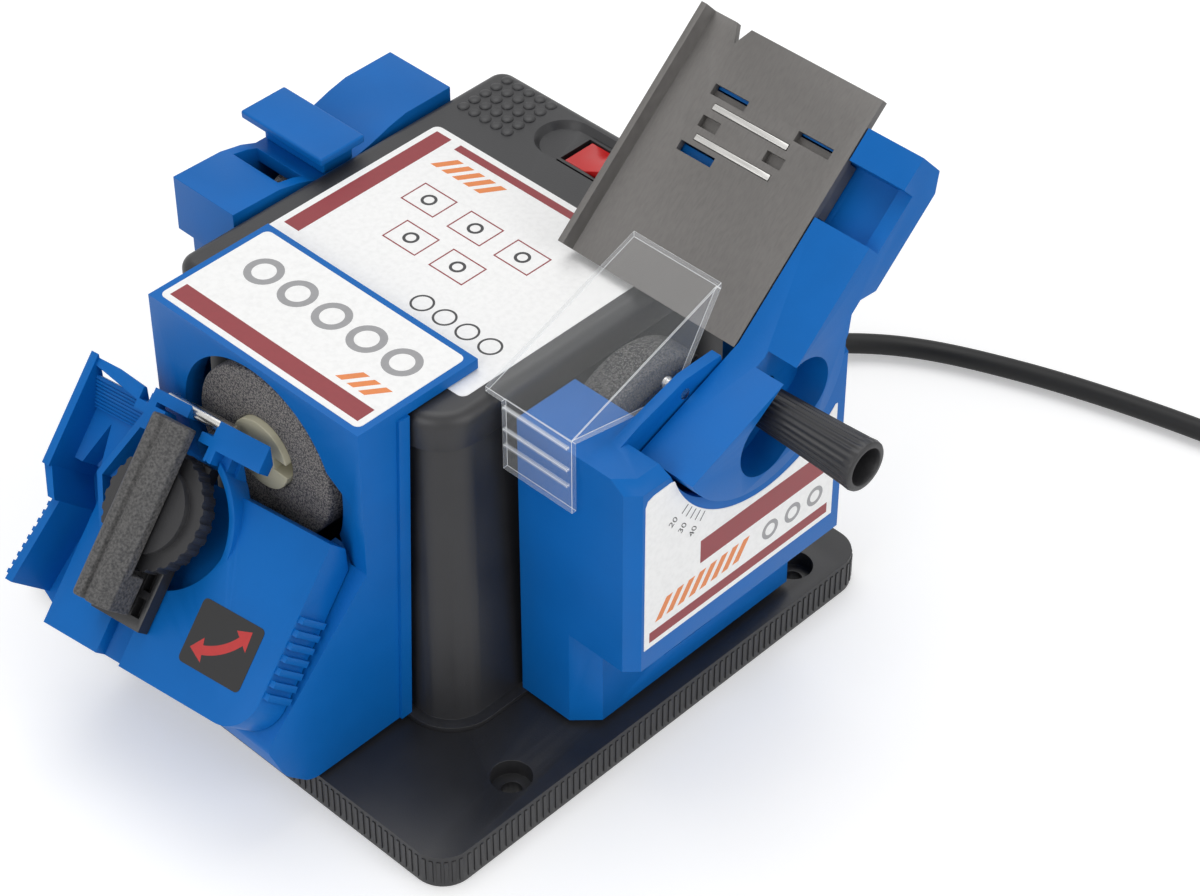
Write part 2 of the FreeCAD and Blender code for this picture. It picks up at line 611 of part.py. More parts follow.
def bevel_gears():
    apex = Vector(0, size("motor_axis_y"), size("axis_height"))
    node("drive_bevel", made("drive_gear", bevel_gear(0.0), Placement(apex, Rotation())))
    turned = Rotation(Vector(0, 0, 1), -90)
    node("driven_bevel", made("driven_gear", bevel_gear(0.5), Placement(apex, turned)))


# Drill wheel on its own short spindle

def block_radius():
    return size("bush_dia") / 2 + size("housing_wall")


def spindle_rear():
    """Y of the bearing block's inner end, clear of the driven gear."""
    return size("motor_axis_y") - size("gear_radius") - 8


def spindle_rod(name, diameter, low, high):
    return rod(name, "y", diameter, low, high, ("0", "axis_height"))


def spindle_block():
    front, rear = -housing_front(size("axis_height")) - 1, spindle_rear()
    flange_at = 4.2 - housing_front(size("axis_height"))
    barrel = spindle_rod("block_barrel", "bush_dia + 2 * housing_wall", repr(front), repr(rear))
    flange = spindle_rod("block_flange", "bush_dia + 4 * housing_wall", repr(flange_at), repr(flange_at + 3))
    bore = spindle_rod("block_bore", "bush_dia + 2 * seat_gap", repr(front - 1), repr(rear + 1))
    return node("spindle_block", cut("block_bored", fuse("block_body", barrel, flange), bore))


def spindle_bushes():
    front, rear = -housing_front(size("axis_height")) - 1, spindle_rear()
    bushes = []
    for tag, low, high in (("front", "%r" % front, "%r + bush_length" % front),
                           ("rear", "%r - bush_length" % rear, "%r" % rear)):
        ring = spindle_rod("spindle_ring_" + tag, "bush_dia", low, high)
        bore = spindle_rod("spindle_bore_" + tag, "shaft_dia + 2 * run_gap", low + " - 1", high + " + 1")
        bushes.append(cut("spindle_bush_" + tag, ring, bore))
    return node("spindle_bushes", group("spindle_bush_set", *bushes))


def drill_spindle():
    rear = "motor_axis_y - gear_radius * (1 - gear_face / (gear_radius * 1.41421)) - 1"
    return node("drill_spindle", spindle_rod("short_shaft", "shaft_dia", "-drill_wheel_front - 1", rear))


def drill_wheel():
    back = "-drill_wheel_front + drill_wheel_wide"
    centre = ("0", "axis_height")
    wheel("drill_wheel", "y", "-drill_wheel_front", back, centre)
    flange = spindle_rod("drill_hub_flange", "hub_flange_dia", back, back + " + hub_flange")
    barrel = spindle_rod("drill_hub_barrel", "wheel_bore", "-drill_wheel_front - 1.5", back)
    bore = spindle_rod("drill_hub_bore", "shaft_dia", "-drill_wheel_front - 9", "0")
    cuts = [bore]
    deep = ("-drill_wheel_front - 3", "-drill_wheel_front + 5")
    spans = (("-wheel_bore", "-shaft_dia / 2 - 2"), ("shaft_dia / 2 + 2", "wheel_bore"))
    for index, span in enumerate(spans):
        cuts.append(box("drill_hub_slot_%d" % index, span, deep, ("axis_height - 2", "axis_height + 2")))
    body = fuse("drill_hub_body", flange, barrel)
    node("drill_wheel_hub", cut("drill_hub_slotted", body, *cuts))


# Drill unit: its casing, the swinging cradle and the clamp that holds a drill

def slope_z(y):
    """Height of the casing's slope under the cradle, part_gap below it."""
    drop = (size("cradle_thick") + size("part_gap")) / math.cos(math.radians(size("slope_angle")))
    return level("cradle_z") + (y + size("cradle_y")) * math.tan(math.radians(size("slope_angle"))) - drop


def lies_along_x(edge, corner):
    """True for an edge that runs along X through a corner (y, z) of a profile."""
    ends = [vertex.Point for vertex in edge.Vertexes]
    return all(math.hypot(end.y - corner[0], end.z - corner[1]) < 0.01 for end in ends)


def drill_unit_shell():
    half, top, front = size("drill_half"), level("drill_top"), -size("drill_front")
    rear, wall, thick = -size("drill_rear"), size("drill_wall"), size("drill_front_wall")
    low, belly, knee, toe = unit_floor(), -size("belly_front"), -size("belly_low"), -size("belly_toe")
    lid = level("cover_top") + size("part_gap")
    back = -size("foot_front") - size("drill_back")
    head = -size("head_front") - size("cover_lip") - size("part_gap")
    outside = [(back, low), (toe, low), (knee, low + 8), (belly, slope_z(belly)), (front, slope_z(front)),
               (front, top), (rear, top), (rear, lid), (head, lid)]
    shell = prism(outside, "x", -half, half)
    for alias, corner in (("toe_round", outside[1]), ("knee_round", outside[2]), ("belly_round", outside[3])):
        shell = shell.makeFillet(size(alias), [edge for edge in shell.Edges if lies_along_x(edge, corner)])
    wide, proud = size("flange_wide"), size("flange_proud")
    flange = [(back, low), (back - wide, low), (head - wide, lid), (head, lid)]
    shell = shell.fuse(prism(flange, "x", -half - proud, half + proud))
    skin = wall * math.sqrt(2)
    inside = [(back + 9, low + wall), (toe + 1, low + wall), (knee + wall, low + 9.5),
              (belly + wall + 1, slope_z(belly + wall + 1) - skin),
              (front + thick, slope_z(front + thick) - skin),
              (front + thick, lid), (back + 9, lid)]
    shell = shell.cut(prism(inside, "x", wall - half, half - wall))
    z = size("axis_height")
    hole = Part.makeCylinder(size("drill_opening") / 2, 60, Vector(0, front - 30, z), Vector(0, 1, 0))
    hole = hole.common(block(-half, half, front - 30, front + thick + 1, 0, top))
    shell = shell.cut(hole)
    face = [(3, top - 4), (half - 4, top - 25), (half - 4, z - 19), (half - 12, z - 19)]
    deep = [(0, top - 9), (half - 19, top - 27), (half - 19, z - 14), (half - 22, z - 14)]
    wires = []
    for points, y in ((face, front - 0.01), (deep, front + thick + 0.5)):
        corners = [Vector(x, y, height) for x, height in points]
        wires.append(Part.makePolygon(corners + corners[:1]))
    shell = shell.cut(Part.makeLoft(wires, True, True))
    pin = cradle_point(0, -size("pivot_up"), 0)
    axis = cradle_turn().multVec(Vector(0, 0, 1))
    reach = size("cradle_thick") + 8
    hole = Part.makeCylinder(size("pivot_dia") / 2 + size("seat_gap"), reach, pin - axis * reach, axis)
    return node("drill_unit_shell", made("drill_casing", shell.cut(hole)))


def cradle_turn():
    return Rotation(Vector(1, 0, 0), size("slope_angle"))


def cradle_point(x, up, out):
    """Point of the unswung cradle: across, up the slope, and out of its face."""
    return Vector(0, -size("cradle_y"), level("cradle_z")) + cradle_turn().multVec(Vector(x, up, out))


def cradle_place():
    """Placement of the cradle's own axes, swung about its pivot as the photograph shows."""
    pivot = Vector(0, -size("pivot_up"), 0)
    swing = Placement(Vector(), Rotation(Vector(0, 0, 1), size("cradle_swing")), pivot)
    return Placement(cradle_point(0, 0, 0), cradle_turn()).multiply(swing)


def swing_cradle():
    left, right = -size("cradle_left"), size("cradle_right")
    low, high = -size("cradle_low"), -size("cradle_high")
    thick, waist = size("cradle_thick"), left + 8
    outline = [(left, low), (right, low), (right, high), (waist, high), (left, high - 11)]
    body = prism(outline, "z", -thick, 0)
    corner = [edge for edge in body.Edges if upright(edge) and edge.BoundBox.XMin > right - 1
              and edge.BoundBox.YMin < low + 1]
    body = body.makeFillet(size("cradle_corner"), corner)
    body = body.fuse(cradle_trough(left, low, high, waist))
    body = body.fuse(cradle_posts())
    for index in range(7):
        up = low + 11 + 3.4 * index
        body = body.fuse(block(right - 1, right + 1.5, up, up + 1.7, -thick + 1, -0.6))
    holder, seat, top = -size("holder_x"), size("holder_deep") + size("groove_gap"), -size("holder_high")
    half, narrow = size("holder_wide") / 2 + 1, size("tongue_wide") / 2 + size("groove_gap")
    well = Vector(holder + size("thumb_side"), -size("thumb_up"), -size("well_deep"))
    body = body.fuse(well_walls(well))
    path = block(holder - half, holder + half, low - 1, top - 0.5, 0, 40)
    groove = block(holder - narrow, holder + narrow, low - 1, top + 3, -seat, 1)
    head = block(holder - half, holder + half, top - 1, top + 3, 0, size("holder_tall") + 1)
    round_well = Part.makeCylinder(size("well_dia") / 2, 40, well)
    round_well = round_well.cut(block(holder - half, holder + half, top, 30, -40, 40))
    body = body.cut([path, groove, head, round_well])
    bore = size("pivot_dia") / 2 + size("run_gap")
    body = body.cut(Part.makeCylinder(bore, size("pivot_grip"), Vector(0, -size("pivot_up"), -thick)))
    return node("swing_cradle", made("cradle", body.cut([stop_bar(1.0), cradle_clearance()]), cradle_place()))


def cradle_trough(left, low, high, waist):
    """Chip trough down the cradle's left side, with its gauge block, ribbed ramp and grip."""
    edge, wall, deep, rim = -size("trough_left"), size("trough_wall"), size("trough_deep"), size("trough_rim")
    knee, thick = -size("trough_knee"), size("cradle_thick")
    neck, foot = edge + 5.5, low + 6
    floor = [(left, low + 1), (edge + 2, foot), (neck, knee - 7), (edge, knee), (edge, 3), (waist, 3),
             (waist, high), (left, high - 11)]
    trough = prism(floor, "z", -thick, -deep)
    trough = trough.fuse(prism([(knee, -thick), (2, -thick), (8, rim), (knee, rim)], "x", edge, edge + wall))
    bend = [(edge, knee), (edge + wall, knee + 0.5), (neck + wall, knee - 7), (neck, knee - 7)]
    trough = trough.fuse(prism(bend, "z", -thick, rim - 1))
    grip = [(neck, knee - 7), (neck + wall, knee - 7), (edge + 2 + wall, foot), (edge + 2, foot)]
    trough = trough.fuse(prism(grip, "z", -thick, rim - 3))
    for index in range(9):
        up = knee - 9.5 - 2.5 * index
        side = neck - (knee - 7 - up) * 0.15
        trough = trough.fuse(block(side - 1, side + 1, up, up + 1.2, -4, rim - 3.6))
    gauge = block(edge + wall, waist - 4, high - 11, -5, -deep, 2)
    notch = prism([(edge + 9, -7), (edge + 5, high - 12), (edge + 12, high - 12)], "z", -4, 3)
    ramp = prism([(-5, -deep), (3, -deep), (3, 7), (2, 7), (-5, 3)], "x", edge + wall, waist)
    lines = []
    for index in range(8):
        up = 0.9 * index - 4.6
        lines.append(block(edge + wall, waist, up, up + 0.4, 3 + 0.5 * index, 9))
    fin = prism([(edge, 5.5), (edge, 8.5), (waist - 2, 6), (waist - 2, 2.2)], "z", -2, rim - 1)
    return trough.fuse([gauge.cut(notch), ramp.cut(lines), fin])


def cradle_posts():
    """Two cross-shaped posts at the top of the cradle and the flags that carry the stop rod."""
    high, tall, thick, up = -size("cradle_high"), size("post_tall"), size("post_thick"), size("post_up")
    parts = []
    for x in (-size("post_left"), -size("post_right")):
        parts.append(block(x - 5, x + 5, up - thick / 2, up + thick / 2, -4, tall))
        parts.append(block(x - thick / 2, x + thick / 2, up - 5, up + 4, -4, tall))
        parts.append(block(x - 5, x + 5, high - 1, up, -6, 2))
    left, right, reach = -size("post_left"), -size("post_right"), up + size("flag_up")
    parts.append(block(left - 1, left + size("flag_left"), up + 2.5, reach, 2, tall))
    parts.append(block(right - 1, right + size("flag_right"), up - 1.5, reach, tall - 4, tall))
    parts.append(block(right + 1, right + 4, high - 1, up + 2, -4, tall - 3.9))
    return parts[0].fuse(parts[1:])


def well_walls(well):
    """Raised rims that run down from the posts on both sides of the thumbwheel's well."""
    tall, up = size("post_tall"), size("post_up")
    post, edge = -size("post_left"), -size("cradle_left")
    left = prism([(post - 1, up), (post + 1.2, up), (edge + 2, -19), (edge + 8, -31), (edge + 6.4, -31.5),
                  (edge, -19)], "z", -3, tall)
    slope = prism([(up + 1, tall), (up + 1, tall + 9), (-40, tall + 9), (-40, 2), (-31, 3)], "x", -60, 60)
    ring = Part.makeCylinder(size("well_dia") / 2 + 1.8, tall + 3, Vector(well.x, well.y, -3))
    ring = ring.common(block(-size("post_right") + 2, 40, -24, 0, -3, tall))
    fall = prism([(up + 1, tall - 1), (up + 1, tall + 9), (-40, tall + 9), (-40, -1), (-24, 0)], "x", -60, 60)
    return left.cut(slope).fuse(ring.cut(fall))


def stop_bar(extra):
    """Steel rod across the posts, against which a drill is set; extra lengthens it at both ends."""
    start = -size("post_left") + 2 - extra
    length = size("post_left") - size("post_right") + 2 * extra
    end = Vector(start, size("post_up") + 4.5, size("post_tall") - 3)
    return Part.makeCylinder(size("rod_dia") / 2, length, end, Vector(1, 0, 0))


def cradle_clearance():
    """Space behind the cradle that stays free for its swing: an upright cut in front of the casing's face."""
    reach = 40.0
    gap = size("cradle_clear") - size("cradle_y")
    edge = -gap / math.cos(math.radians(size("slope_angle")))
    far = edge + 3 * reach
    return prism([(edge - reach, -reach), (edge + reach, reach), (far, reach), (far, -reach)],
                 "x", -2 * reach, 2 * reach)


def cradle_rod():
    return node("stop_rod", made("stop_bar", stop_bar(0.0), cradle_place()))


def cradle_pivot():
    sunk, grip = 8, size("pivot_grip") - size("part_gap")
    foot = Vector(0, -size("pivot_up"), -size("cradle_thick") - sunk)
    pin = Part.makeCylinder(size("pivot_dia") / 2, sunk + grip, foot)
    return node("cradle_pivot", made("pivot_pin", pin, Placement(cradle_point(0, 0, 0), cradle_turn())))


def holder_base():
    x, half = -size("holder_x"), size("holder_wide") / 2
    low, high = -size("holder_low"), -size("holder_high")
    deep, tall = size("holder_deep"), size("holder_tall")
    body = block(x - half, x + half, low, high, size("holder_lift"), tall)
    tongue = size("tongue_wide") / 2
    body = body.fuse(block(x - tongue, x + tongue, low + 4, high - 1, -deep, tall))
    for index in range(2):
        up = low + 3 + 7 * index
        body = body.cut(block(x + half - 4.5, x + half - 1.5, up, up + 5, 1, tall + 1))
    centre = Vector(x + size("thumb_side"), -size("thumb_up"), -deep - 1)
    body = body.cut(Part.makeCylinder(size("stud_dia") / 2 + size("run_gap"), deep + tall + 2, centre))
    return node("holder_base", made("holder", body, cradle_place()))


def holder_thumbwheel():
    x, up = -size("holder_x") + size("thumb_side"), -size("thumb_up")
    low, thick, radius = size("holder_tall") + size("part_gap"), size("thumb_thick"), size("thumb_dia") / 2
    rim = thick - size("thumb_boss_tall")
    disc = Part.makeCylinder(radius, rim, Vector(x, up, low))
    boss = Part.makeCylinder(size("thumb_boss_dia") / 2, thick, Vector(x, up, low))
    grooves = []
    for index in range(28):
        angle = 2 * math.pi * index / 28
        spot = Vector(x + (radius + 0.6) * math.cos(angle), up + (radius + 0.6) * math.sin(angle), low - 1)
        grooves.append(Part.makeCylinder(1.2, thick + 2, spot))
    disc = disc.cut(grooves).fuse(boss)
    stud = Part.makeCylinder(size("stud_dia") / 2, low + size("holder_deep") - 0.5,
                             Vector(x, up, -size("holder_deep") + 0.5))
    return node("holder_thumbwheel", made("thumbwheel", disc.fuse(stud), cradle_place()))


def clamp_bar():
    x, half, tall = -size("holder_x"), size("clamp_wide") / 2, size("clamp_tall")
    base = size("holder_tall") + size("thumb_thick") + 2 * size("part_gap")
    low, high = -size("clamp_low"), size("clamp_high")
    outline = [(x - half, base), (x + half, base), (x + half, base + tall - 3), (x + half - 3, base + tall),
               (x + half - 6, base + tall), (x + half - 7, base + tall - 1.5), (x + half - 8, base + tall),
               (x - half + 2, base + tall), (x - half, base + tall - 2)]
    bar = prism(outline, "y", low, high)
    foot = prism([(x - half - 3, base - 5), (x + half, base - 5), (x + half, base + 1),
                  (x - half - 1, base + 1)], "y", low, low + 10)
    return node("clamp_bar", made("bar", bar.fuse(foot), cradle_place()))


# Chisel and plane unit

def slope_place():
    """Axes of the tilting arm: x across, y up the slope, z out of the plate's top face."""
    tilt = Rotation(Vector(1, 0, 0), size("arm_angle"))
    return Placement(Vector(0, size("plate_y"), level("plate_z")), tilt)


def chisel_unit_shell():
    x0, x1, foot = size("chisel_in"), size("chisel_out"), size("chisel_foot_out")
    y0, y1, wall = -size("chisel_front"), size("chisel_back"), size("chisel_wall")
    low, belly, top = unit_floor(), size("chisel_belly"), level("chisel_top")
    corner, toe, rib = size("chisel_corner"), size("foot_corner"), size("chisel_rib_in")
    upper = prism([(x0, y0), (x1 - corner, y0), (x1, y0 + corner), (x1, y1), (x0, y1)], "z", belly, top)
    crown = [edge for edge in upper.Edges
             if abs(edge.BoundBox.ZMin - top) < 0.01 and edge.BoundBox.XMin > x1 - 5]
    upper = upper.makeChamfer(3.0, crown)
    lower = prism([(x0, y0), (foot - toe, y0), (foot, y0 + toe), (foot, y1), (x0, y1)], "z", low, belly)
    ahead, behind, crest = -size("fin_front"), size("fin_back"), top + size("fin_tall")
    fin = [(ahead, top - 1), (ahead + 8.8, top + 2.9), (size("guard_pin_y"), crest), (behind - 2.5, crest),
           (behind, top - 1)]
    shell = upper.fuse([lower, prism(fin, "x", rib, rib + wall)])
    bite = toe + 0.4 * wall
    foot_room = prism([(x0 - 1, y0 + wall), (foot - bite, y0 + wall), (foot - wall, y0 + bite),
                       (foot - wall, y1 - wall), (x0 - 1, y1 - wall)], "z", low + wall, belly)
    wheel_side = block(x0 - 1, rib, y0 + wall, y1 - wall, belly, top - wall)
    mouth = block(x0 - 1, rib, size("panel_back"), y1 - wall, belly, top + 1)
    arm_side = block(rib + wall, x1 - wall, y0 + wall, y1 - wall, belly + wall, top - wall)
    vent = block(foot - 2 * wall, foot + 1, size("vent_front"), size("vent_back"), low + size("vent_up"),
                 low + size("vent_up") + size("vent_tall"))
    across = Vector(1, 0, 0)
    turning = Part.makeCylinder(size("wheel_dia") / 2 + size("wheel_room"), rib - x0 + 1,
                                Vector(x0 - 1, size("motor_axis_y"), size("axis_height")), across)
    seat = Part.makeCylinder(size("arm_seat_radius"), x1 + 1 - rib - wall,
                             Vector(rib + wall, size("arm_y"), level("arm_z")), across)
    stud = Part.makeCylinder(size("stud_dia") / 2 + size("run_gap"), x1,
                             Vector(rib - 1, size("knob_y"), level("knob_z")), across)
    pin = Part.makeCylinder(size("guard_pin_dia") / 2, 2 * wall,
                            Vector(rib - 1, size("guard_pin_y"), level("guard_pin_z")), across)
    shell = shell.cut([foot_room, wheel_side, mouth, arm_side, vent, turning, seat, stud, pin])
    return node("chisel_unit_shell", made("chisel_casing", shell))


def chisel_arm():
    y, z, radius = size("arm_y"), level("arm_z"), size("arm_hub_radius")
    x0, x1, length, deep = size("arm_in"), size("arm_out"), size("arm_length"), size("arm_deep")
    start, wide, sunk = size("channel_start"), size("channel_wide"), size("channel_deep")
    place = slope_place()
    notch, rise = size("notch_up"), size("notch_tall") - deep
    beam = prism([(-8, 0), (start, 0), (start, -sunk), (start + wide, -sunk), (start + wide, 0), (length, 0),
                  (length, 4 - deep), (length - 5, -deep), (notch + 6, -deep), (notch + 2, rise),
                  (notch - 2, rise), (notch - 6.3, 0.7 - deep), (-8, -deep - 8)], "x", x0, x1)
    under = -size("plate_thick") - size("plate_room")
    floor, foot = under - sunk, -size("beam_deep") - 4
    near, far = start - 4, start + wide + 4
    cross = prism([(near, under), (start, under), (start, floor), (start + wide, floor),
                   (start + wide, under), (far, under), (far, foot), (near, foot)],
                  "x", size("beam_in"), x0 + 0.01)
    beam = beam.cut(block(x0 - 1, x1 - 4, start, start + wide, floor, 1))
    arm = beam.fuse(cross)
    arm.Placement = place
    disc = Part.makeCylinder(radius, x1 - x0, Vector(x0, y, z), Vector(1, 0, 0))
    bend = place.multVec(Vector(0, size("arm_bend"), 0))
    ahead, steep = 2 * radius, math.tan(math.radians(size("arm_angle")))
    fall = ahead * math.tan(math.radians(size("hub_angle")))
    top = [(bend.y - ahead, bend.z - fall), (bend.y, bend.z), (bend.y + ahead, bend.z + ahead * steep),
           (bend.y + ahead, 0), (bend.y - ahead, 0)]
    disc = disc.common(prism(top, "x", x0, x1))
    arm = arm.fuse(disc)
    floor = size("knob_start") - size("part_gap")
    recess = slot_shape(size("slot_long"), size("slot_wide"), floor, x1 + 1)
    slot = slot_shape(size("stud_slot"), size("stud_dia") + 1.5, x0 - 1, floor + 1)
    return node("chisel_arm", made("arm", arm.cut([recess, slot])))


def slot_shape(long, wide, low, high):
    """Round-ended slot across the arm, centred on the clamp knob and lying along the arm."""
    half = (long - wide) / 2
    body = block(low, high, -half, half, -wide / 2, wide / 2)
    for end in (-half, half):
        body = body.fuse(Part.makeCylinder(wide / 2, high - low, Vector(low, end, 0), Vector(1, 0, 0)))
    body.Placement = Placement(Vector(0, size("knob_y"), level("knob_z")), Rotation(Vector(1, 0, 0), 35))
    return body


def chisel_plate():
    x0, x1, length, thick = size("plate_left"), size("plate_right"), size("plate_length"), size("plate_thick")
    plate = block(x0, x1, 0, length, -thick, 0)
    plate = plate.fuse(block(x0, x0 + size("fence_thick"), 0, length, -thick, size("fence_tall")))
    for x, up, long, wide in plate_windows():
        plate = plate.cut(block(x, x + long, up, up + wide, -thick - 1, 1))
    for x, up, long, wide in bar_places():
        plate = plate.cut(block(x, x + long, up, up + wide, -thick - 1, 1))
    start, wide, sunk = size("channel_start"), size("channel_wide"), size("channel_deep")
    gap = size("part_gap")
    slide = block(size("carriage_in"), size("carriage_out"), start + gap, start + wide - gap,
                  -thick - sunk, -thick)
    bevel = prism([(-1, -thick - 1), (size("plate_bevel"), -thick - 1), (size("plate_bevel"), -thick),
                   (0, -size("plate_edge")), (-1, -size("plate_edge"))], "x", x0 - 1, x1 + 1)
    notch = prism([(x0 + 9, length + 0.1), (x0 + 14, length + 0.1), (x0 + 11.5, length - 5)],
                  "z", -thick - 1, 1)
    return node("chisel_plate", made("plate", plate.fuse(slide).cut([notch, bevel]), slope_place()))


def plate_windows():
    """Windows through the plate: across, up the slope, length and width."""
    left = size("plate_left")
    return [(left + 13.0, 50.8, 11.2, 2.9), (left + 40.8, 50.5, 11.2, 2.9), (left + 12.8, 34.8, 11.4, 2.6),
            (left + 14.6, 42.4, 5.9, 3.1), (left + 35.9, 42.5, 5.9, 3.0)]


def bar_places():
    """Bright wear bars let into the plate: across, up the slope, length and width."""
    left = size("plate_left")
    return [(left + 15.8, 47.5, 24.8, 1.8), (left + 15.8, 38.8, 24.8, 1.8)]


def wear_bars():
    bars = []
    for x, up, long, wide in bar_places():
        gap, thick = size("seat_gap"), size("plate_thick")
        bars.append(block(x + gap, x + long - gap, up + gap, up + wide - gap, -thick, 0.3))
    return node("wear_bars", made("bars", Part.makeCompound(bars), slope_place()))


def arm_knob():
    centre = ("knob_y", "axis_height + knob_z")
    body = cone("knob_body", "x", "knob_root_dia", "knob_end_dia", "knob_start", "knob_end", centre)
    bore = rod("knob_bore_cut", "x", "knob_bore", "knob_end - knob_bore_deep", "knob_end + 1", centre)
    stud = rod("knob_stud", "x", "stud_dia", "chisel_rib_in - 1", "knob_start + 1", centre)
    return node("arm_knob", cut("knob_hollow", fuse("knob_whole", body, stud), bore))


def wheel_guard():
    x0, x1, thick = size("guard_left"), size("guard_right"), size("guard_thick")
    front, front_z = -size("guard_front"), level("guard_front_z")
    back, back_z, lip = size("guard_back"), level("guard_back_z"), size("guard_lip")
    pin_y, pin_z = size("guard_pin_y"), level("guard_pin_z")
    sheet_side = [(front, front_z), (back, back_z), (back, back_z - thick * 1.2),
                  (front + thick, front_z - thick), (front + thick, front_z - lip), (front, front_z - lip)]
    guard = prism(sheet_side, "x", x0, x1)
    beside = size("head_half") + size("cover_lip") + 2
    lip_cut = block(x0 - 1, beside, front - 1, front + thick + 0.01, front_z - lip - 1, front_z - thick)
    guard = guard.cut(lip_cut)
    wall = [(front + thick, front_z - thick), (back, back_z - thick), (pin_y + 6, pin_z + 2),
            (pin_y + 3, pin_z - 3.5), (pin_y - 4, pin_z - 3.5)]
    guard = guard.fuse(prism(wall, "x", x1 - thick, x1))
    tab = block(x1 - 3 * thick, x1, front, front + 1.4, front_z - lip, front_z)
    guard = guard.fuse(tab)
    bore = size("guard_pin_dia") / 2 + size("run_gap")
    hole = Part.makeCylinder(bore, 20, Vector(x1 - 10, pin_y, pin_z), Vector(1, 0, 0))
    return node("wheel_guard", made("guard", guard.cut(hole)))


def guard_pin():
    pin = rod("guard_pin_rod", "x", "guard_pin_dia", "guard_right - guard_thick - 0.5",
              "chisel_rib_in + chisel_wall", ("guard_pin_y", "axis_height + guard_pin_z"))
    return node("guard_pin", pin)


# Knife and scissors unit

def knife_unit_shell():
    x0, x1, foot = -size("knife_in"), -size("knife_out"), -size("knife_foot_out")
    y0, y1, wall = -size("knife_front"), size("knife_back"), size("knife_wall")
    low, shelf, top = unit_floor(), level("knife_shelf"), level("knife_top")
    front, back = size("guide_front"), size("guide_back")
    side = [(y0, shelf), (y0, top), (y0 + 16, top - 0.5), (front - 4, top - 2), (front + 1, top - 4),
            (back, top - 4), (back + 5, top - 3), (back + 12, top - 0.8), (back + 18, top + 0.5),
            (y1, top + 0.5), (y1, shelf)]
    shell = prism(side, "x", x1, x0).fuse(block(foot, -size("knife_foot_in"), y0 + 4, y1 - 4, low, shelf))
    room = block(*wall_room(), y0 + 4 + wall, y1 - 4 - wall, low + wall, top - 8)
    shell = shell.cut(room)
    shell = shell.cut(block(x1 + 3, x0 - 3, front - 9, front - 1, shelf, top + 1))
    return node("knife_unit_shell", made("knife_casing", shell.cut(knife_clearance())))


def knife_clearance():
    """Round room in which the knife unit's wheel turns."""
    low, high = wall_room()
    centre = Vector(low, size("motor_axis_y"), size("axis_height"))
    radius = size("knife_wheel_dia") / 2 + size("wheel_room")
    return Part.makeCylinder(radius, high - low, centre, Vector(1, 0, 0))


def wall_room():
    """The knife unit's inside, across: from its outer wall to its open side."""
    return size("knife_wall") - size("knife_foot_out"), 1 - size("knife_in")


def knife_guide():
    front, back, top = size("guide_front"), size("guide_back"), level("guide_top")
    low, over = level("knife_top") - 4, size("guide_over")
    lid = block(-size("knife_out") - over, -size("knife_in") + over, front, back, top - 2.5, top)
    stem = block(-size("knife_out") + 0.3, -size("knife_in"), front + 4, back - 1, low, top - 2.5)
    return node("knife_guide", made("guide", lid.fuse(stem.cut(knife_clearance()))))


# Rocker switch on the top cover

def switch_body():
    x, y, top = size("switch_x"), size("switch_y"), level("cover_top")
    long, wide = size("switch_long") / 2, size("switch_wide") / 2
    floor, rim = top - size("scoop_deep"), size("switch_rim")
    body = block(x - long, x + long, y - wide, y + wide, floor - size("switch_deep"), floor + rim)
    room = block(x - long + rim, x + long - rim, y - wide + 0.9, y + wide - 0.9, floor - 8, top + 1)
    body = body.cut(room)
    pin = Part.makeCylinder(1.0, 2 * wide, Vector(x, y - wide, floor - size("rocker_pin")), Vector(0, 1, 0))
    return node("switch_body", made("switch_case", body.fuse(pin)))


def switch_rocker():
    x, y, top = size("switch_x"), size("switch_y"), level("cover_top")
    half, wide, rise = size("rocker_long") / 2, size("rocker_wide") / 2, size("rocker_rise")
    floor = top - size("scoop_deep")
    low, root = floor - size("rocker_pin") - 2, floor - 1.5
    outline = [(x - half, root), (x - half + 2, low), (x + half - 2, low), (x + half, root),
               (x + half, floor + rise), (x - 0.8, floor + 0.3), (x - half, floor + 0.3)]
    rocker = prism(outline, "y", y - wide, y + wide)
    hole = Part.makeCylinder(1.0 + size("run_gap"), 4 * wide,
                             Vector(x, y - 2 * wide, floor - size("rocker_pin")), Vector(0, 1, 0))
    return node("switch_rocker", made("rocker", rocker.cut(hole)))


# Mains lead: strain relief, free stretch, put-away coil with its tie, and plug

def cord_relief():
    back = size("foot_back")
    root, tip = size("relief_root") / 2, size("lead_dia") / 2 + 1.2
    z, length = size("relief_z"), size("relief_length")
    sleeve = Part.makeCone(root, tip, length - 2, Vector(0, back + 2, z), Vector(0, 1, 0))
    collar = Part.makeCylinder(root - 1.5 - size("seat_gap"), 6, Vector(0, back - 4, z), Vector(0, 1, 0))
    return node("cord_relief", made("relief", sleeve.fuse(collar)))


def tube_path(points):
    """Straight runs joined by tangent arcs, each as large as its two runs allow; also the radii."""
    edges, radii, start = [], [], points[0]
    for before, corner, after in zip(points, points[1:], points[2:]):
        inward, outward = (corner - before), (after - corner)
        turn = inward.getAngle(outward)
        reach = 0.45 * min(inward.Length, outward.Length)
        radius = reach / math.tan(turn / 2)
        enter = corner - inward.normalize() * reach
        leave = corner + outward.normalize() * reach
        middle = (enter + leave) * 0.5 - corner
        sag = radius / math.cos(turn / 2) - radius
        top = corner + middle.normalize() * sag
        edges.append(Part.LineSegment(start, enter).toShape())
        edges.append(Part.Arc(enter, top, leave).toShape())
        radii.append(radius)
        start = leave
    edges.append(Part.LineSegment(start, points[-1]).toShape())
    return Part.Wire(edges), radii


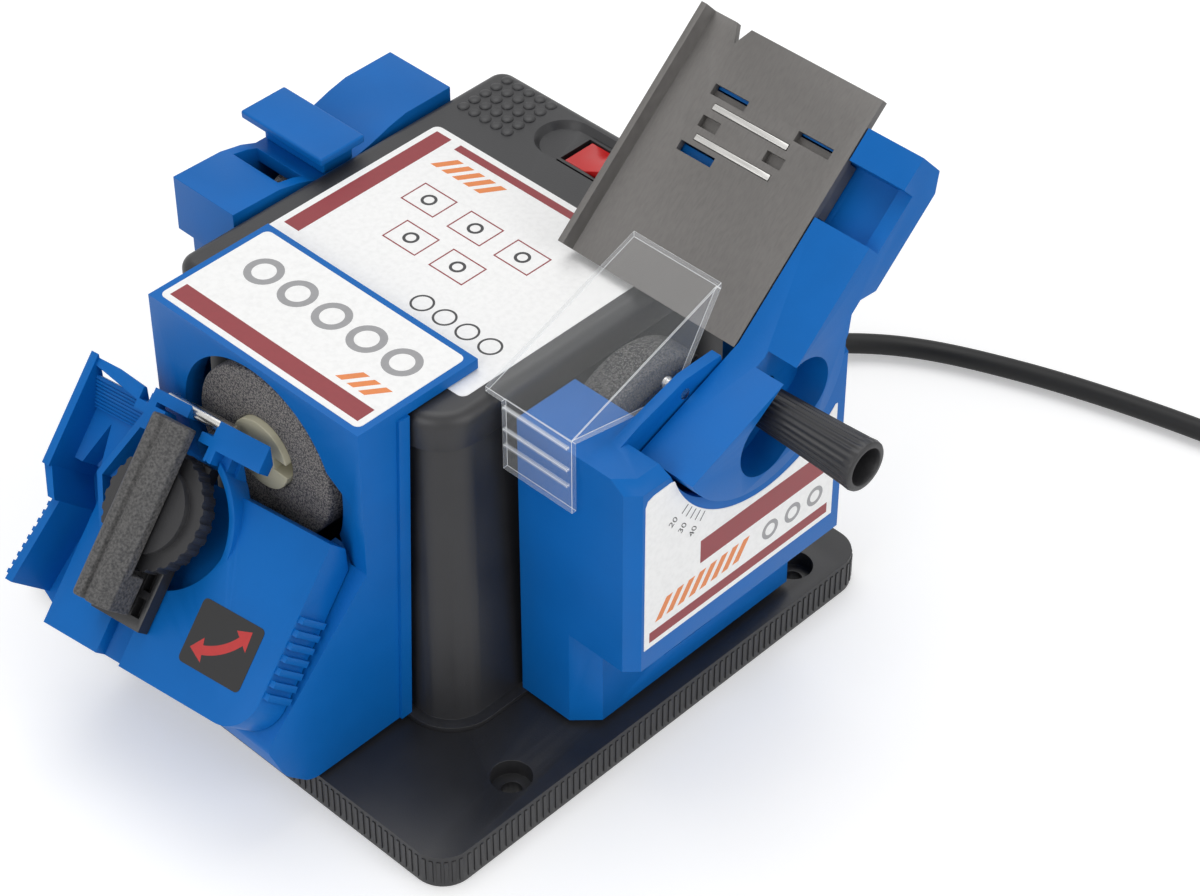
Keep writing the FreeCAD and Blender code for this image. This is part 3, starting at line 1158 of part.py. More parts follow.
def swept(path, label):
    """Round lead along a path, with its volume set against section times length."""
    start = path.Edges[0]
    along = start.tangentAt(start.FirstParameter)
    ring = Part.Wire(Part.makeCircle(size("lead_dia") / 2, start.valueAt(start.FirstParameter), along))
    tube = path.makePipeShell([ring], True, False)
    expected = math.pi * (size("lead_dia") / 2) ** 2 * path.Length
    share = tube.Volume / expected
    print("%s: length %.1f mm, volume %.4f of section times length" % (label, path.Length, share))
    return tube


def lead_route():
    """The route, moved with the strain relief's end and stretched to its height."""
    (_, first, high), floor = LEAD_ROUTE[0], LEAD_ROUTE[-1][2]
    away = size("foot_back") + size("relief_length") - first
    share = (size("relief_z") - floor) / (high - floor)
    return [Vector(x, y + away, floor + (z - floor) * share) for x, y, z in LEAD_ROUTE]


def power_cord():
    path, radii = tube_path(lead_route())
    print("lead radii: " + ", ".join("%.0f" % radius for radius in radii))
    return node("power_cord", made("free_lead", swept(path, "free lead")))


def coil_frame():
    """Where the coil begins, and the direction in which the lead arrives."""
    route = lead_route()
    return route[-1], (route[-1] - route[-2]).normalize()


def arc_points(first, tangent, last):
    """Three points of the arc that leaves first along tangent and ends at last."""
    chord = last - first
    side = chord - tangent * chord.dot(tangent)
    side.normalize()
    radius = chord.Length ** 2 / (2 * side.dot(chord))
    centre = first + side * radius
    middle = ((first + last) * 0.5 - centre).normalize()
    return first, centre + middle * radius, last


def biarc(first, along, last, leaving):
    """Two arcs that join two points and keep the direction at both."""
    chord, total = last - first, along + leaving
    square = 2 * (1 - along.dot(leaving))
    dot = chord.dot(total)
    reach = 0.0
    if square > 1e-9:
        reach = (-dot + math.sqrt(dot * dot + square * chord.dot(chord))) / square
    middle = (first + last + (along - leaving) * reach) * 0.5
    leaving_first = arc_points(first, along, middle)
    reaching_last = arc_points(last, leaving * -1, middle)[::-1]
    return [Part.Arc(*points).toShape() for points in (leaving_first, reaching_last)]


def coil_spot(turn):
    """Point of the coil's line after a number of turns: in on the floor layer, out again on top."""
    pitch = size("lead_dia") + size("coil_gap")
    turns = size("coil_turns")
    lift = size("lead_dia") / 2 + size("coil_lift")
    inward = min(turn, 2 * turns + 0.5 - turn)
    radius = size("coil_radius") - pitch * min(inward, turns)
    climb = min(max((turn - turns) / 0.5, 0.0), 1.0)
    climb = climb * climb * (3 - 2 * climb)
    angle = 2 * math.pi * turn - math.pi / 2
    return Vector(radius * math.cos(angle), radius * math.sin(angle), lift + climb * pitch)


def cord_coil():
    start, along = coil_frame()
    heading = math.degrees(math.atan2(along.y, along.x))
    lead = size("lead_dia")
    total = 2 * size("coil_turns") + 0.5
    steps = int(round(total * 4))
    spots = [coil_spot(total * index / steps) for index in range(steps + 1)]
    ways = []
    for index in range(steps + 1):
        turn, small = total * index / steps, 0.001
        low, high = max(turn - small, 0.0), min(turn + small, total)
        ways.append((coil_spot(high) - coil_spot(low)).normalize())
    ways[0] = Vector(1, 0, 0)
    ways[-1] = Vector(ways[-1].x, ways[-1].y, 0).normalize()
    edges = [Part.LineSegment(spots[0] - ways[0] * lead, spots[0]).toShape()]
    for index in range(steps):
        edges += biarc(spots[index], ways[index], spots[index + 1], ways[index + 1])
    landing = spots[-1] + ways[-1] * size("tail_length")
    landing.z = size("plug_thick") / 2 + 0.2
    edges += biarc(spots[-1], ways[-1], landing, ways[-1])
    tail = landing + ways[-1] * lead
    edges.append(Part.LineSegment(landing, tail).toShape())
    path = Part.Wire(edges)
    shift = Placement(start, Rotation(Vector(0, 0, 1), heading))
    origin = spots[0] - ways[0] * lead
    shift = shift.multiply(Placement(Vector(-origin.x, -origin.y, -start.z), Rotation()))
    report_gap(edges)
    coil = node("cord_coil", made("coil", swept(path, "coil"), shift))
    return coil, shift, tail, ways[-1]


def report_gap(edges):
    """Print the least gap of the coil to itself, measured on points a little apart along its line."""
    points, walked = [], 0.0
    for edge in edges:
        parts = max(2, int(edge.Length / 3))
        for index in range(parts):
            share = edge.FirstParameter + (edge.LastParameter - edge.FirstParameter) * index / parts
            points.append((walked + edge.Length * index / parts, edge.valueAt(share)))
        walked += edge.Length
    apart = 6 * size("lead_dia")
    least = min(a.distanceToPoint(b) for i, (at, a) in enumerate(points)
                for to, b in points[:i] if at - to > apart)
    print("coil's least gap to itself: %.2f mm" % (least - size("lead_dia")))


def cord_tie(shift):
    pitch, lead, thick = size("lead_dia") + size("coil_gap"), size("lead_dia"), size("tie_thick")
    outer = size("coil_radius") + lead / 2 + 0.8
    inner = size("coil_radius") - pitch * (size("coil_turns") + 0.3) - lead / 2
    low = size("coil_lift") - 0.3
    high = size("coil_lift") + pitch + lead + 0.4
    band = block(inner - thick, outer + thick, -3, 3, low - thick, high + thick)
    band = band.cut(block(inner, outer, -4, 4, low, high))
    return node("cord_tie", made("tie", band, shift))


def mains_plug(shift, tail, along):
    length, neck = size("plug_length"), size("lead_dia") / 2
    half, thick = size("plug_wide") / 2, size("plug_thick") / 2
    back = Part.makeCone(neck + 1.2, thick - 0.4, length * 0.45, Vector(), Vector(1, 0, 0))
    outline = [(length * 0.4, -thick), (length * 0.55, -half), (length, -half), (length, half),
               (length * 0.55, half), (length * 0.4, thick)]
    body = back.fuse(prism(outline, "z", -thick, thick))
    heading = math.degrees(math.atan2(along.y, along.x))
    place = shift.multiply(Placement(tail, Rotation(Vector(0, 0, 1), heading)))
    node("mains_plug", made("plug", body, place))
    pins = []
    for side in (-1, 1):
        pins.append(Part.makeCylinder(size("pin_dia") / 2, size("pin_length"),
                                      Vector(length, side * size("pin_pitch") / 2, 0), Vector(1, 0, 0)))
    node("plug_pins", made("pins", Part.makeCompound(pins), place))


def build():
    base_plate()
    rubber_pads()
    base_screws()
    motor_housing()
    top_cover()
    motor_can()
    motor_saddle()
    motor_magnets()
    motor_ends()
    shaft_bushes()
    carbon_brushes()
    rectifier_board()
    motor_shaft()
    armature()
    commutator()
    cooling_fan()
    side_wheels()
    bevel_gears()
    spindle_block()
    spindle_bushes()
    drill_spindle()
    drill_wheel()
    drill_unit_shell()
    swing_cradle()
    cradle_rod()
    cradle_pivot()
    holder_base()
    holder_thumbwheel()
    clamp_bar()
    chisel_unit_shell()
    chisel_arm()
    chisel_plate()
    wear_bars()
    arm_knob()
    wheel_guard()
    guard_pin()
    knife_unit_shell()
    knife_guide()
    switch_body()
    switch_rocker()
    cord_relief()
    power_cord()
    coil, shift, tail, along = cord_coil()
    cord_tie(shift)
    mains_plug(shift, tail, along)


def check():
    """Stop before anything is written if an object failed or a piece isn't a sound solid."""
    doc.recompute()
    for thing in doc.Objects:
        if "Invalid" in thing.State or "Error" in thing.State:
            raise RuntimeError("failed: " + thing.Name)
    for piece in NODES:
        shape = piece.Shape
        if shape.isNull() or not shape.isValid() or not shape.Solids:
            raise RuntimeError("unsound: " + piece.Label)


build()
check()
os.makedirs("parts", exist_ok=True)
for piece in NODES:
    piece.Shape.exportStep(os.path.join("parts", piece.Label + ".step"))
print("%d nodes" % len(NODES))
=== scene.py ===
import json
import math

import bmesh
import bpy
from mathutils import Matrix, Vector


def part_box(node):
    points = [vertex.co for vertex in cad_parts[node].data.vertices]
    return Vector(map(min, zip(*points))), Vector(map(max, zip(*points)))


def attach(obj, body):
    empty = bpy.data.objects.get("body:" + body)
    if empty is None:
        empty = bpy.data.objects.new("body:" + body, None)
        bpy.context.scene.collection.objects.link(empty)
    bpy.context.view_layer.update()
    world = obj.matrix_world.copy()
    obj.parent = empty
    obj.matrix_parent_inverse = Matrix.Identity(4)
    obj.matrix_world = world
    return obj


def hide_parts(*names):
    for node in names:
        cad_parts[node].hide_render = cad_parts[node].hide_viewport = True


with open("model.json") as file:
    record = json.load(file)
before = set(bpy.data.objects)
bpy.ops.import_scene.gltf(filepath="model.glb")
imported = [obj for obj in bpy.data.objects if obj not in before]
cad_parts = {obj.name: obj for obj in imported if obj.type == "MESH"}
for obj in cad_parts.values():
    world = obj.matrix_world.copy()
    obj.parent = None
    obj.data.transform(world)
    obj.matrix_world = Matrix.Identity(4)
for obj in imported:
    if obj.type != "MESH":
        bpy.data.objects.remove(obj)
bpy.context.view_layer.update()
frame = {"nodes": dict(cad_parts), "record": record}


# Studio: a white table top that keeps the machine's soft shadow, large soft lamps over and beside it,
# and a camera with a long lens, above and to the right of the drill side.
scene = bpy.context.scene
scene.view_settings.view_transform = "Standard"

camera_data = bpy.data.cameras.new("studio_camera")
camera_data.lens = 97.08
camera_data.sensor_width = 36.0
camera_data.clip_end = 20.0
camera = bpy.data.objects.new("studio_camera", camera_data)
camera.location = (0.47276, -0.42451, 0.61817)
camera.rotation_euler = (math.radians(90 - 41.91), 0.0, math.radians(44.09))
scene.collection.objects.link(camera)
scene.camera = camera


def seen_directly(tree):
    """One for rays from the camera, a reflection or a clear piece, and zero for light on other things."""
    path = tree.nodes.new("ShaderNodeLightPath")
    mirrored = tree.nodes.new("ShaderNodeMath")
    mirrored.operation = "MAXIMUM"
    tree.links.new(path.outputs["Is Camera Ray"], mirrored.inputs[0])
    tree.links.new(path.outputs["Is Glossy Ray"], mirrored.inputs[1])
    through = tree.nodes.new("ShaderNodeMath")
    through.operation = "MAXIMUM"
    tree.links.new(mirrored.outputs[0], through.inputs[0])
    tree.links.new(path.outputs["Is Transmission Ray"], through.inputs[1])
    return through.outputs[0]


world = bpy.data.worlds.new("studio")
world.use_nodes = True
scene.world = world
sky_level = world.node_tree.nodes.new("ShaderNodeMapRange")
sky_level.inputs["To Min"].default_value = 0.48
sky_level.inputs["To Max"].default_value = 1.0
world.node_tree.links.new(seen_directly(world.node_tree), sky_level.inputs["Value"])
sky = world.node_tree.nodes["Background"]
sky.inputs["Color"].default_value = (1.0, 1.0, 1.0, 1.0)
world.node_tree.links.new(sky_level.outputs["Result"], sky.inputs["Strength"])

for lamp_name, spot, aim, wide, power in (
        ("lamp_over", (-0.35, 0.25, 1.35), (0.0, 0.0, 0.08), 1.1, 7.2),
        ("lamp_front", (0.15, -1.25, 0.75), (0.0, 0.0, 0.08), 0.9, 5.2),
        ("lamp_side", (1.25, 0.15, 0.65), (0.05, 0.0, 0.08), 0.8, 4.8)):
    lamp_data = bpy.data.lights.new(lamp_name, "AREA")
    lamp_data.size = wide
    lamp_data.energy = power
    lamp = bpy.data.objects.new(lamp_name, lamp_data)
    lamp.location = spot
    lamp.rotation_euler = (Vector(spot) - Vector(aim)).to_track_quat("Z", "Y").to_euler()
    scene.collection.objects.link(lamp)

table_mesh = bpy.data.meshes.new("table_top")
shape = bmesh.new()
bmesh.ops.create_grid(shape, x_segments=1, y_segments=1, size=6.0, matrix=Matrix.Translation((0, 0, -0.0001)))
shape.to_mesh(table_mesh)
shape.free()
table_top = bpy.data.objects.new("table_top", table_mesh)
scene.collection.objects.link(table_top)
table_paint = bpy.data.materials.new("table_white")
table_paint.use_nodes = True
tree = table_paint.node_tree
tree.nodes["Principled BSDF"].inputs["Base Color"].default_value = (0.86, 0.86, 0.86, 1.0)
tree.nodes["Principled BSDF"].inputs["Roughness"].default_value = 0.9
tree.nodes["Principled BSDF"].inputs["Specular IOR Level"].default_value = 0.0
glow = tree.nodes.new("ShaderNodeEmission")
glow_level = tree.nodes.new("ShaderNodeMapRange")
glow_level.inputs["To Min"].default_value = 0.0
glow_level.inputs["To Max"].default_value = 0.30
tree.links.new(seen_directly(tree), glow_level.inputs["Value"])
tree.links.new(glow_level.outputs["Result"], glow.inputs["Strength"])
both = tree.nodes.new("ShaderNodeAddShader")
tree.links.new(tree.nodes["Principled BSDF"].outputs[0], both.inputs[0])
tree.links.new(glow.outputs[0], both.inputs[1])
tree.links.new(both.outputs[0], tree.nodes["Material Output"].inputs["Surface"])
table_mesh.materials.append(table_paint)


# Base plate: a black ABS moulding with round corners and counterbored bolt holes.
# Its upright rim is finely ribbed all round, for grip.
def moulded_plastic(name, colour, shade, rough, grain, relief=0.00006, shine=0.5, mottle=45.0):
    """Moulded plastic: slow drift of colour and gloss, and the fine spark texture of the tool."""
    made = bpy.data.materials.new(name)
    made.use_nodes = True
    links, nodes = made.node_tree.links, made.node_tree.nodes
    shader = nodes["Principled BSDF"]
    shader.inputs["Specular IOR Level"].default_value = shine
    place = nodes.new("ShaderNodeTexCoord")
    drift = nodes.new("ShaderNodeTexNoise")
    drift.inputs["Scale"].default_value = mottle
    drift.inputs["Detail"].default_value = 4.0
    links.new(place.outputs["Object"], drift.inputs["Vector"])
    tint = nodes.new("ShaderNodeValToRGB")
    tint.color_ramp.elements[0].position = 0.35
    tint.color_ramp.elements[0].color = (*shade, 1.0)
    tint.color_ramp.elements[1].position = 0.65
    tint.color_ramp.elements[1].color = (*colour, 1.0)
    links.new(drift.outputs["Fac"], tint.inputs["Fac"])
    links.new(tint.outputs["Color"], shader.inputs["Base Color"])
    gloss = nodes.new("ShaderNodeMapRange")
    gloss.inputs["From Min"].default_value = 0.3
    gloss.inputs["From Max"].default_value = 0.7
    gloss.inputs["To Min"].default_value = rough - 0.05
    gloss.inputs["To Max"].default_value = rough + 0.05
    links.new(drift.outputs["Fac"], gloss.inputs["Value"])
    links.new(gloss.outputs["Result"], shader.inputs["Roughness"])
    spark = nodes.new("ShaderNodeTexNoise")
    spark.inputs["Scale"].default_value = grain
    spark.inputs["Detail"].default_value = 2.0
    links.new(place.outputs["Object"], spark.inputs["Vector"])
    pits = nodes.new("ShaderNodeBump")
    pits.inputs["Strength"].default_value = 0.5
    pits.inputs["Distance"].default_value = relief
    links.new(spark.outputs["Fac"], pits.inputs["Height"])
    links.new(pits.outputs["Normal"], shader.inputs["Normal"])
    return made


def merged_copy(node):
    """A node's triangles as one closed skin of flat and curved faces."""
    skin = bmesh.new()
    skin.from_mesh(frame["nodes"][node].data)
    bmesh.ops.remove_doubles(skin, verts=skin.verts, dist=1e-5)
    bmesh.ops.dissolve_limit(skin, angle_limit=math.radians(0.6), verts=skin.verts, edges=skin.edges)
    return skin


def finished(name, skin, paint, body, slot, *nodes):
    """Make an object of a skin, smooth it, paint it and put it on its body in place of its nodes."""
    mesh = bpy.data.meshes.new(name)
    for face in skin.faces:
        face.smooth = True
    skin.to_mesh(mesh)
    skin.free()
    mesh.materials.append(paint)
    piece = bpy.data.objects.new(name, mesh)
    scene.collection.objects.link(piece)
    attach(piece, body)
    if nodes:
        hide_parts(*nodes)
    return piece


def soften(piece, edge, steps=3, angle=32.0):
    """Round the piece's sharp edges as a mould does."""
    rounding = piece.modifiers.new("mould_radius", "BEVEL")
    rounding.width = edge
    rounding.segments = steps
    rounding.profile = 0.5
    rounding.limit_method = "ANGLE"
    rounding.angle_limit = math.radians(angle)
    rounding.harden_normals = True
    return piece


black_plastic = moulded_plastic("black_moulded", (0.022, 0.022, 0.024), (0.016, 0.016, 0.018), 0.42, 2200.0)
base_low, base_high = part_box("base_plate")
rib_deep, rib_wide, rib_pitch = 0.0003, 0.0011, 0.0022
corner_radius = 0.009
half_wide, half_long = base_high.x, (base_high.y - base_low.y) / 2
base_middle = (base_low.y + base_high.y) / 2
skin = merged_copy("base_plate")
for vertex in skin.verts:
    across = abs(vertex.co.x) - (half_wide - corner_radius)
    along = abs(vertex.co.y - base_middle) - (half_long - corner_radius)
    outward = Vector((max(across, 0.0), max(along, 0.0), 0.0))
    if abs(outward.length - corner_radius) < 2e-5:
        outward.normalize()
        vertex.co.x -= math.copysign(outward.x, vertex.co.x) * rib_deep
        vertex.co.y -= math.copysign(outward.y, vertex.co.y - base_middle) * rib_deep
soften(finished("base_moulding", skin, black_plastic, "machine", "black_abs", "base_plate"), 0.0008)

skin = bmesh.new()
rim_low, rim_high = base_low.z + 0.0012, base_high.z - 0.0014
for turn, reach, run in ((0, half_wide, half_long), (90, half_long, half_wide),
                         (180, half_wide, half_long), (270, half_long, half_wide)):
    count = int(2 * (run - corner_radius) / rib_pitch)
    for index in range(count + 1):
        side = (index - count / 2) * rib_pitch
        place = (Matrix.Translation((0, base_middle, 0)) @ Matrix.Rotation(math.radians(turn), 4, "Z")
                 @ Matrix.Translation((reach - rib_deep, side, (rim_low + rim_high) / 2))
                 @ Matrix.Diagonal((2 * rib_deep, rib_wide, rim_high - rim_low, 1.0)))
        bmesh.ops.create_cube(skin, size=1.0, matrix=place)
for side_x in (-1, 1):
    for side_y in (-1, 1):
        for index in range(1, 7):
            angle = math.radians(90 * index / 7)
            place = (Matrix.Translation((side_x * (half_wide - corner_radius),
                                         base_middle + side_y * (half_long - corner_radius),
                                         (rim_low + rim_high) / 2))
                     @ Matrix.Rotation(math.atan2(side_y * math.sin(angle), side_x * math.cos(angle)), 4, "Z")
                     @ Matrix.Translation((corner_radius - rib_deep, 0, 0))
                     @ Matrix.Diagonal((2 * rib_deep, rib_wide, rim_high - rim_low, 1.0)))
            bmesh.ops.create_cube(skin, size=1.0, matrix=place)
soften(finished("base_rim_ribs", skin, black_plastic, "machine", "black_abs"), 0.00015, 1)


# Motor housing and top cover: a drafted black ABS column on a raised foot ring, closed by a round-edged lid.
# The lid has a square of low grip bumps at its back left corner, beside the dish of the switch.
soften(finished("housing_moulding", merged_copy("motor_housing"), black_plastic, "machine", "black_abs",
                "motor_housing"), 0.0006)
soften(finished("cover_moulding", merged_copy("top_cover"), black_plastic, "machine", "black_abs",
                "top_cover"), 0.0005)
cover_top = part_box("top_cover")[1].z
skin = bmesh.new()
for row in range(5):
    for column in range(5):
        spot = Vector((-0.0421 + 0.00415 * column, 0.0547 + 0.0041 * row, cover_top))
        dome = bmesh.ops.create_uvsphere(skin, u_segments=20, v_segments=12, radius=0.0017,
                                         matrix=Matrix.Translation(spot))
        bmesh.ops.scale(skin, verts=dome["verts"], vec=(1.0, 1.0, 0.4), space=Matrix.Translation(-spot))
finished("cover_grip_dots", skin, black_plastic, "machine", "black_abs")


# Rocker switch: a polished red rocker that tips in a black case.
# The case is pushed into a slot of the cover, in the middle of a shallow dish for the finger.
red_plastic = moulded_plastic("red_polished", (0.62, 0.012, 0.012), (0.56, 0.01, 0.01), 0.22, 600.0, 0.00001)
soften(finished("switch_case", merged_copy("switch_body"), black_plastic, "machine", "black_abs",
                "switch_body"), 0.0003, 2)
soften(finished("red_rocker", merged_copy("switch_rocker"), red_plastic, "rocker", "red_rocker",
                "switch_rocker"), 0.0006)


# Drill unit: blue ABS casing at the front of the housing, moulded with a sloping front.
# A round opening in its upper front shows the wheel.
blue_plastic = moulded_plastic("blue_moulded", (0.002, 0.136, 0.480), (0.0015, 0.124, 0.440), 0.42, 1700.0,
                               0.00004, 0.18)
soften(finished("drill_casing", merged_copy("drill_unit_shell"), blue_plastic, "machine", "blue_abs",
                "drill_unit_shell"), 0.0011)


# Swinging cradle: a blue ABS plate that turns on a pivot in the drill unit's slope.
# It is moulded in one with a chip trough, a finger grip and two posts.
soften(finished("cradle_moulding", merged_copy("swing_cradle"), blue_plastic, "cradle", "blue_abs",
                "swing_cradle"), 0.0004, 2)


# Knife unit: blue ABS casing at the left of the housing, over the smallest wheel.
# A slotted bridge of the same plastic lies across its top and guides the blade.
soften(finished("knife_casing", merged_copy("knife_unit_shell"), blue_plastic, "machine", "blue_abs",
                "knife_unit_shell"), 0.0009)
soften(finished("blade_bridge", merged_copy("knife_guide"), blue_plastic, "machine", "blue_abs",
                "knife_guide"), 0.0007)


# Chisel unit: blue ABS casing at the right of the housing, with a round seat in its outer wall.
# The tilting arm is a blue moulding whose hub lies in that seat.
soften(finished("chisel_casing", merged_copy("chisel_unit_shell"), blue_plastic, "machine", "blue_abs",
                "chisel_unit_shell"), 0.0009)
soften(finished("tilting_arm", merged_copy("chisel_arm"), blue_plastic, "arm", "blue_abs",
                "chisel_arm"), 0.0008)


# Mains lead: black PVC flex that leaves the housing's back through a ringed strain relief and drops to
# the table. It runs off to the right, where its far length lies in a tied coil and ends in a two-pin plug.
flex_plastic = moulded_plastic("black_flex", (0.012, 0.012, 0.0125), (0.009, 0.009, 0.0095), 0.5, 900.0,
                               0.00006, 0.3)
lead_wide = 0.0062
lead_route = [
    (0.0, 0.1, 0.022), (0.0, 0.1092, 0.022), (0.001, 0.1183, 0.0199), (0.0029, 0.1265, 0.0159),
    (0.0056, 0.1338, 0.0107), (0.0098, 0.1412, 0.0067), (0.0153, 0.1485, 0.0046), (0.0219, 0.1551, 0.0043),
    (0.0297, 0.161, 0.0043), (0.0403, 0.1671, 0.0043), (0.054, 0.1732, 0.0043), (0.072, 0.18, 0.0043),
    (0.094, 0.1866, 0.0043), (0.116, 0.192, 0.0043), (0.137, 0.196, 0.0043), (0.155, 0.1984, 0.0043),
    (0.17, 0.1996, 0.0043)]
coil_radius, coil_pitch, coil_turns, coil_low = 0.048, 0.0076, 3.0, 0.0043
coil_heading = math.atan2(lead_route[-1][1] - lead_route[-2][1], lead_route[-1][0] - lead_route[-2][0])
to_coil = (Matrix.Translation((lead_route[-1][0], lead_route[-1][1], 0.0))
           @ Matrix.Rotation(coil_heading, 4, "Z") @ Matrix.Translation((lead_wide, coil_radius, 0.0)))
line = [Vector(point) for point in lead_route]
per_turn, all_turns = 24, 2 * coil_turns + 0.5
for step in range(int(per_turn * all_turns) + 1):
    turn = step / per_turn
    ring = coil_radius - coil_pitch * min(turn, all_turns - turn, coil_turns)
    climb = min(max((turn - coil_turns) / 0.5, 0.0), 1.0)
    climb = climb * climb * (3 - 2 * climb)
    angle = 2 * math.pi * turn - math.pi / 2
    height = coil_low + climb * coil_pitch
    line.append(to_coil @ Vector((ring * math.cos(angle), ring * math.sin(angle), height)))
plug_height = 0.00705
leaving = (to_coil.to_3x3() @ Vector((-1.0, coil_pitch / (2 * math.pi * coil_radius), 0.0))).normalized()
for away, height in ((0.010, coil_low + coil_pitch), (0.020, plug_height), (0.0275, plug_height),
                     (0.0362, plug_height)):
    spot = to_coil @ Vector((0.0, coil_radius, 0.0)) + leaving * away
    line.append(Vector((spot.x, spot.y, height)))
flex = bpy.data.curves.new("mains_flex", "CURVE")
flex.dimensions = "3D"
run = flex.splines.new("NURBS")
run.points.add(len(line) - 1)
for point, spot in zip(run.points, line):
    point.co = (*spot, 1.0)
run.order_u = 3
run.use_endpoint_u = True
flex.resolution_u = 6
flex.bevel_depth = lead_wide / 2
flex.bevel_resolution = 5
flex.use_fill_caps = True
flex.materials.append(flex_plastic)
mains_flex = bpy.data.objects.new("mains_flex", flex)
scene.collection.objects.link(mains_flex)
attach(mains_flex, "machine")
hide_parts("power_cord", "cord_coil")

relief_low, relief_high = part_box("cord_relief")
relief_middle = Vector((0.0, 0.0, 0.022))
rings, sleeve_start, sleeve_end = 6, 0.077, relief_high.y
profile = [(relief_low.y, 0.0), (relief_low.y, 0.0044), (sleeve_start, 0.0044), (sleeve_start, 0.006)]
for index in range(rings):
    share = (index + 0.25) / rings
    start = sleeve_start + 0.003 + (sleeve_end - sleeve_start - 0.005) * index / rings
    wide = 0.0058 - 0.0014 * share
    profile += [(start, wide), (start + 0.0006, wide - 0.0008), (start + 0.0016, wide - 0.0008),
                (start + 0.0022, wide - 0.0002)]
profile += [(sleeve_end - 0.0004, 0.0043), (sleeve_end, 0.0040), (sleeve_end, 0.0)]
skin = bmesh.new()
corners = [skin.verts.new(relief_middle + Vector((radius, along, 0.0))) for along, radius in profile]
edges = [skin.edges.new(pair) for pair in zip(corners, corners[1:])]
bmesh.ops.spin(skin, geom=corners + edges, cent=relief_middle, axis=(0, 1, 0), angle=2 * math.pi, steps=40,
               use_merge=True)
bmesh.ops.remove_doubles(skin, verts=skin.verts, dist=1e-6)
bmesh.ops.recalc_face_normals(skin, faces=skin.faces)
soften(finished("strain_relief", skin, flex_plastic, "machine", "black_pvc", "cord_relief"), 0.00025, 2)
plug_body = soften(finished("plug_moulding", merged_copy("mains_plug"), flex_plastic, "machine", "black_pvc",
                            "mains_plug"), 0.0018, 4)
coil_tie = soften(finished("coil_tie", merged_copy("cord_tie"), flex_plastic, "machine", "black_pvc",
                           "cord_tie"), 0.0003, 2)


def turned_metal(name, colour, rough, metallic, stretch, drift=0.06):
    """Metal with fine tool marks, stretched across one direction."""
    made = bpy.data.materials.new(name)
    made.use_nodes = True
    links, nodes = made.node_tree.links, made.node_tree.nodes
    shader = nodes["Principled BSDF"]
    shader.inputs["Metallic"].default_value = metallic
    place = nodes.new("ShaderNodeTexCoord")
    spread = nodes.new("ShaderNodeMapping")
    spread.inputs["Scale"].default_value = stretch
    links.new(place.outputs["Object"], spread.inputs["Vector"])
    marks = nodes.new("ShaderNodeTexNoise")
    marks.inputs["Scale"].default_value = 30.0
    marks.inputs["Detail"].default_value = 6.0
    links.new(spread.outputs["Vector"], marks.inputs["Vector"])
    tint = nodes.new("ShaderNodeValToRGB")
    tint.color_ramp.elements[0].position = 0.3
    tint.color_ramp.elements[0].color = (*[part * 0.82 for part in colour], 1.0)
    tint.color_ramp.elements[1].position = 0.7
    tint.color_ramp.elements[1].color = (*colour, 1.0)
    links.new(marks.outputs["Fac"], tint.inputs["Fac"])
    links.new(tint.outputs["Color"], shader.inputs["Base Color"])
    gloss = nodes.new("ShaderNodeMapRange")
    gloss.inputs["From Min"].default_value = 0.3
    gloss.inputs["From Max"].default_value = 0.7
    gloss.inputs["To Min"].default_value = rough - drift
    gloss.inputs["To Max"].default_value = rough + drift
    links.new(marks.outputs["Fac"], gloss.inputs["Value"])
    links.new(gloss.outputs["Result"], shader.inputs["Roughness"])
    scratch = nodes.new("ShaderNodeBump")
    scratch.inputs["Strength"].default_value = 0.25
    scratch.inputs["Distance"].default_value = 0.00003
    links.new(marks.outputs["Fac"], scratch.inputs["Height"])
    links.new(scratch.outputs["Normal"], shader.inputs["Normal"])
    return made


bright_steel = turned_metal("bright_steel", (0.62, 0.61, 0.59), 0.28, 1.0, (4.0, 60.0, 60.0))
plug_prongs = soften(finished("plug_prongs", merged_copy("plug_pins"), bright_steel, "machine", "steel",
                              "plug_pins"), 0.0006, 3)


# Grinding wheels: bonded grit on cream moulded hubs, one at the drill opening and two on the long shaft.
# The chisel unit's stone is darker than the others.
def bonded_grit(name, pale, dark):
    made = bpy.data.materials.new(name)
    made.use_nodes = True
    links, nodes = made.node_tree.links, made.node_tree.nodes
    shader = nodes["Principled BSDF"]
    shader.inputs["Roughness"].default_value = 0.88
    place = nodes.new("ShaderNodeTexCoord")
    grains = nodes.new("ShaderNodeTexVoronoi")
    grains.inputs["Scale"].default_value = 1900.0
    links.new(place.outputs["Object"], grains.inputs["Vector"])
    tint = nodes.new("ShaderNodeValToRGB")
    tint.color_ramp.elements[0].color = (*pale, 1.0)
    tint.color_ramp.elements[1].position = 0.75
    tint.color_ramp.elements[1].color = (*dark, 1.0)
    links.new(grains.outputs["Distance"], tint.inputs["Fac"])
    links.new(tint.outputs["Color"], shader.inputs["Base Color"])
    pits = nodes.new("ShaderNodeBump")
    pits.invert = True
    pits.inputs["Strength"].default_value = 0.9
    pits.inputs["Distance"].default_value = 0.0003
    links.new(grains.outputs["Distance"], pits.inputs["Height"])
    links.new(pits.outputs["Normal"], shader.inputs["Normal"])
    return made


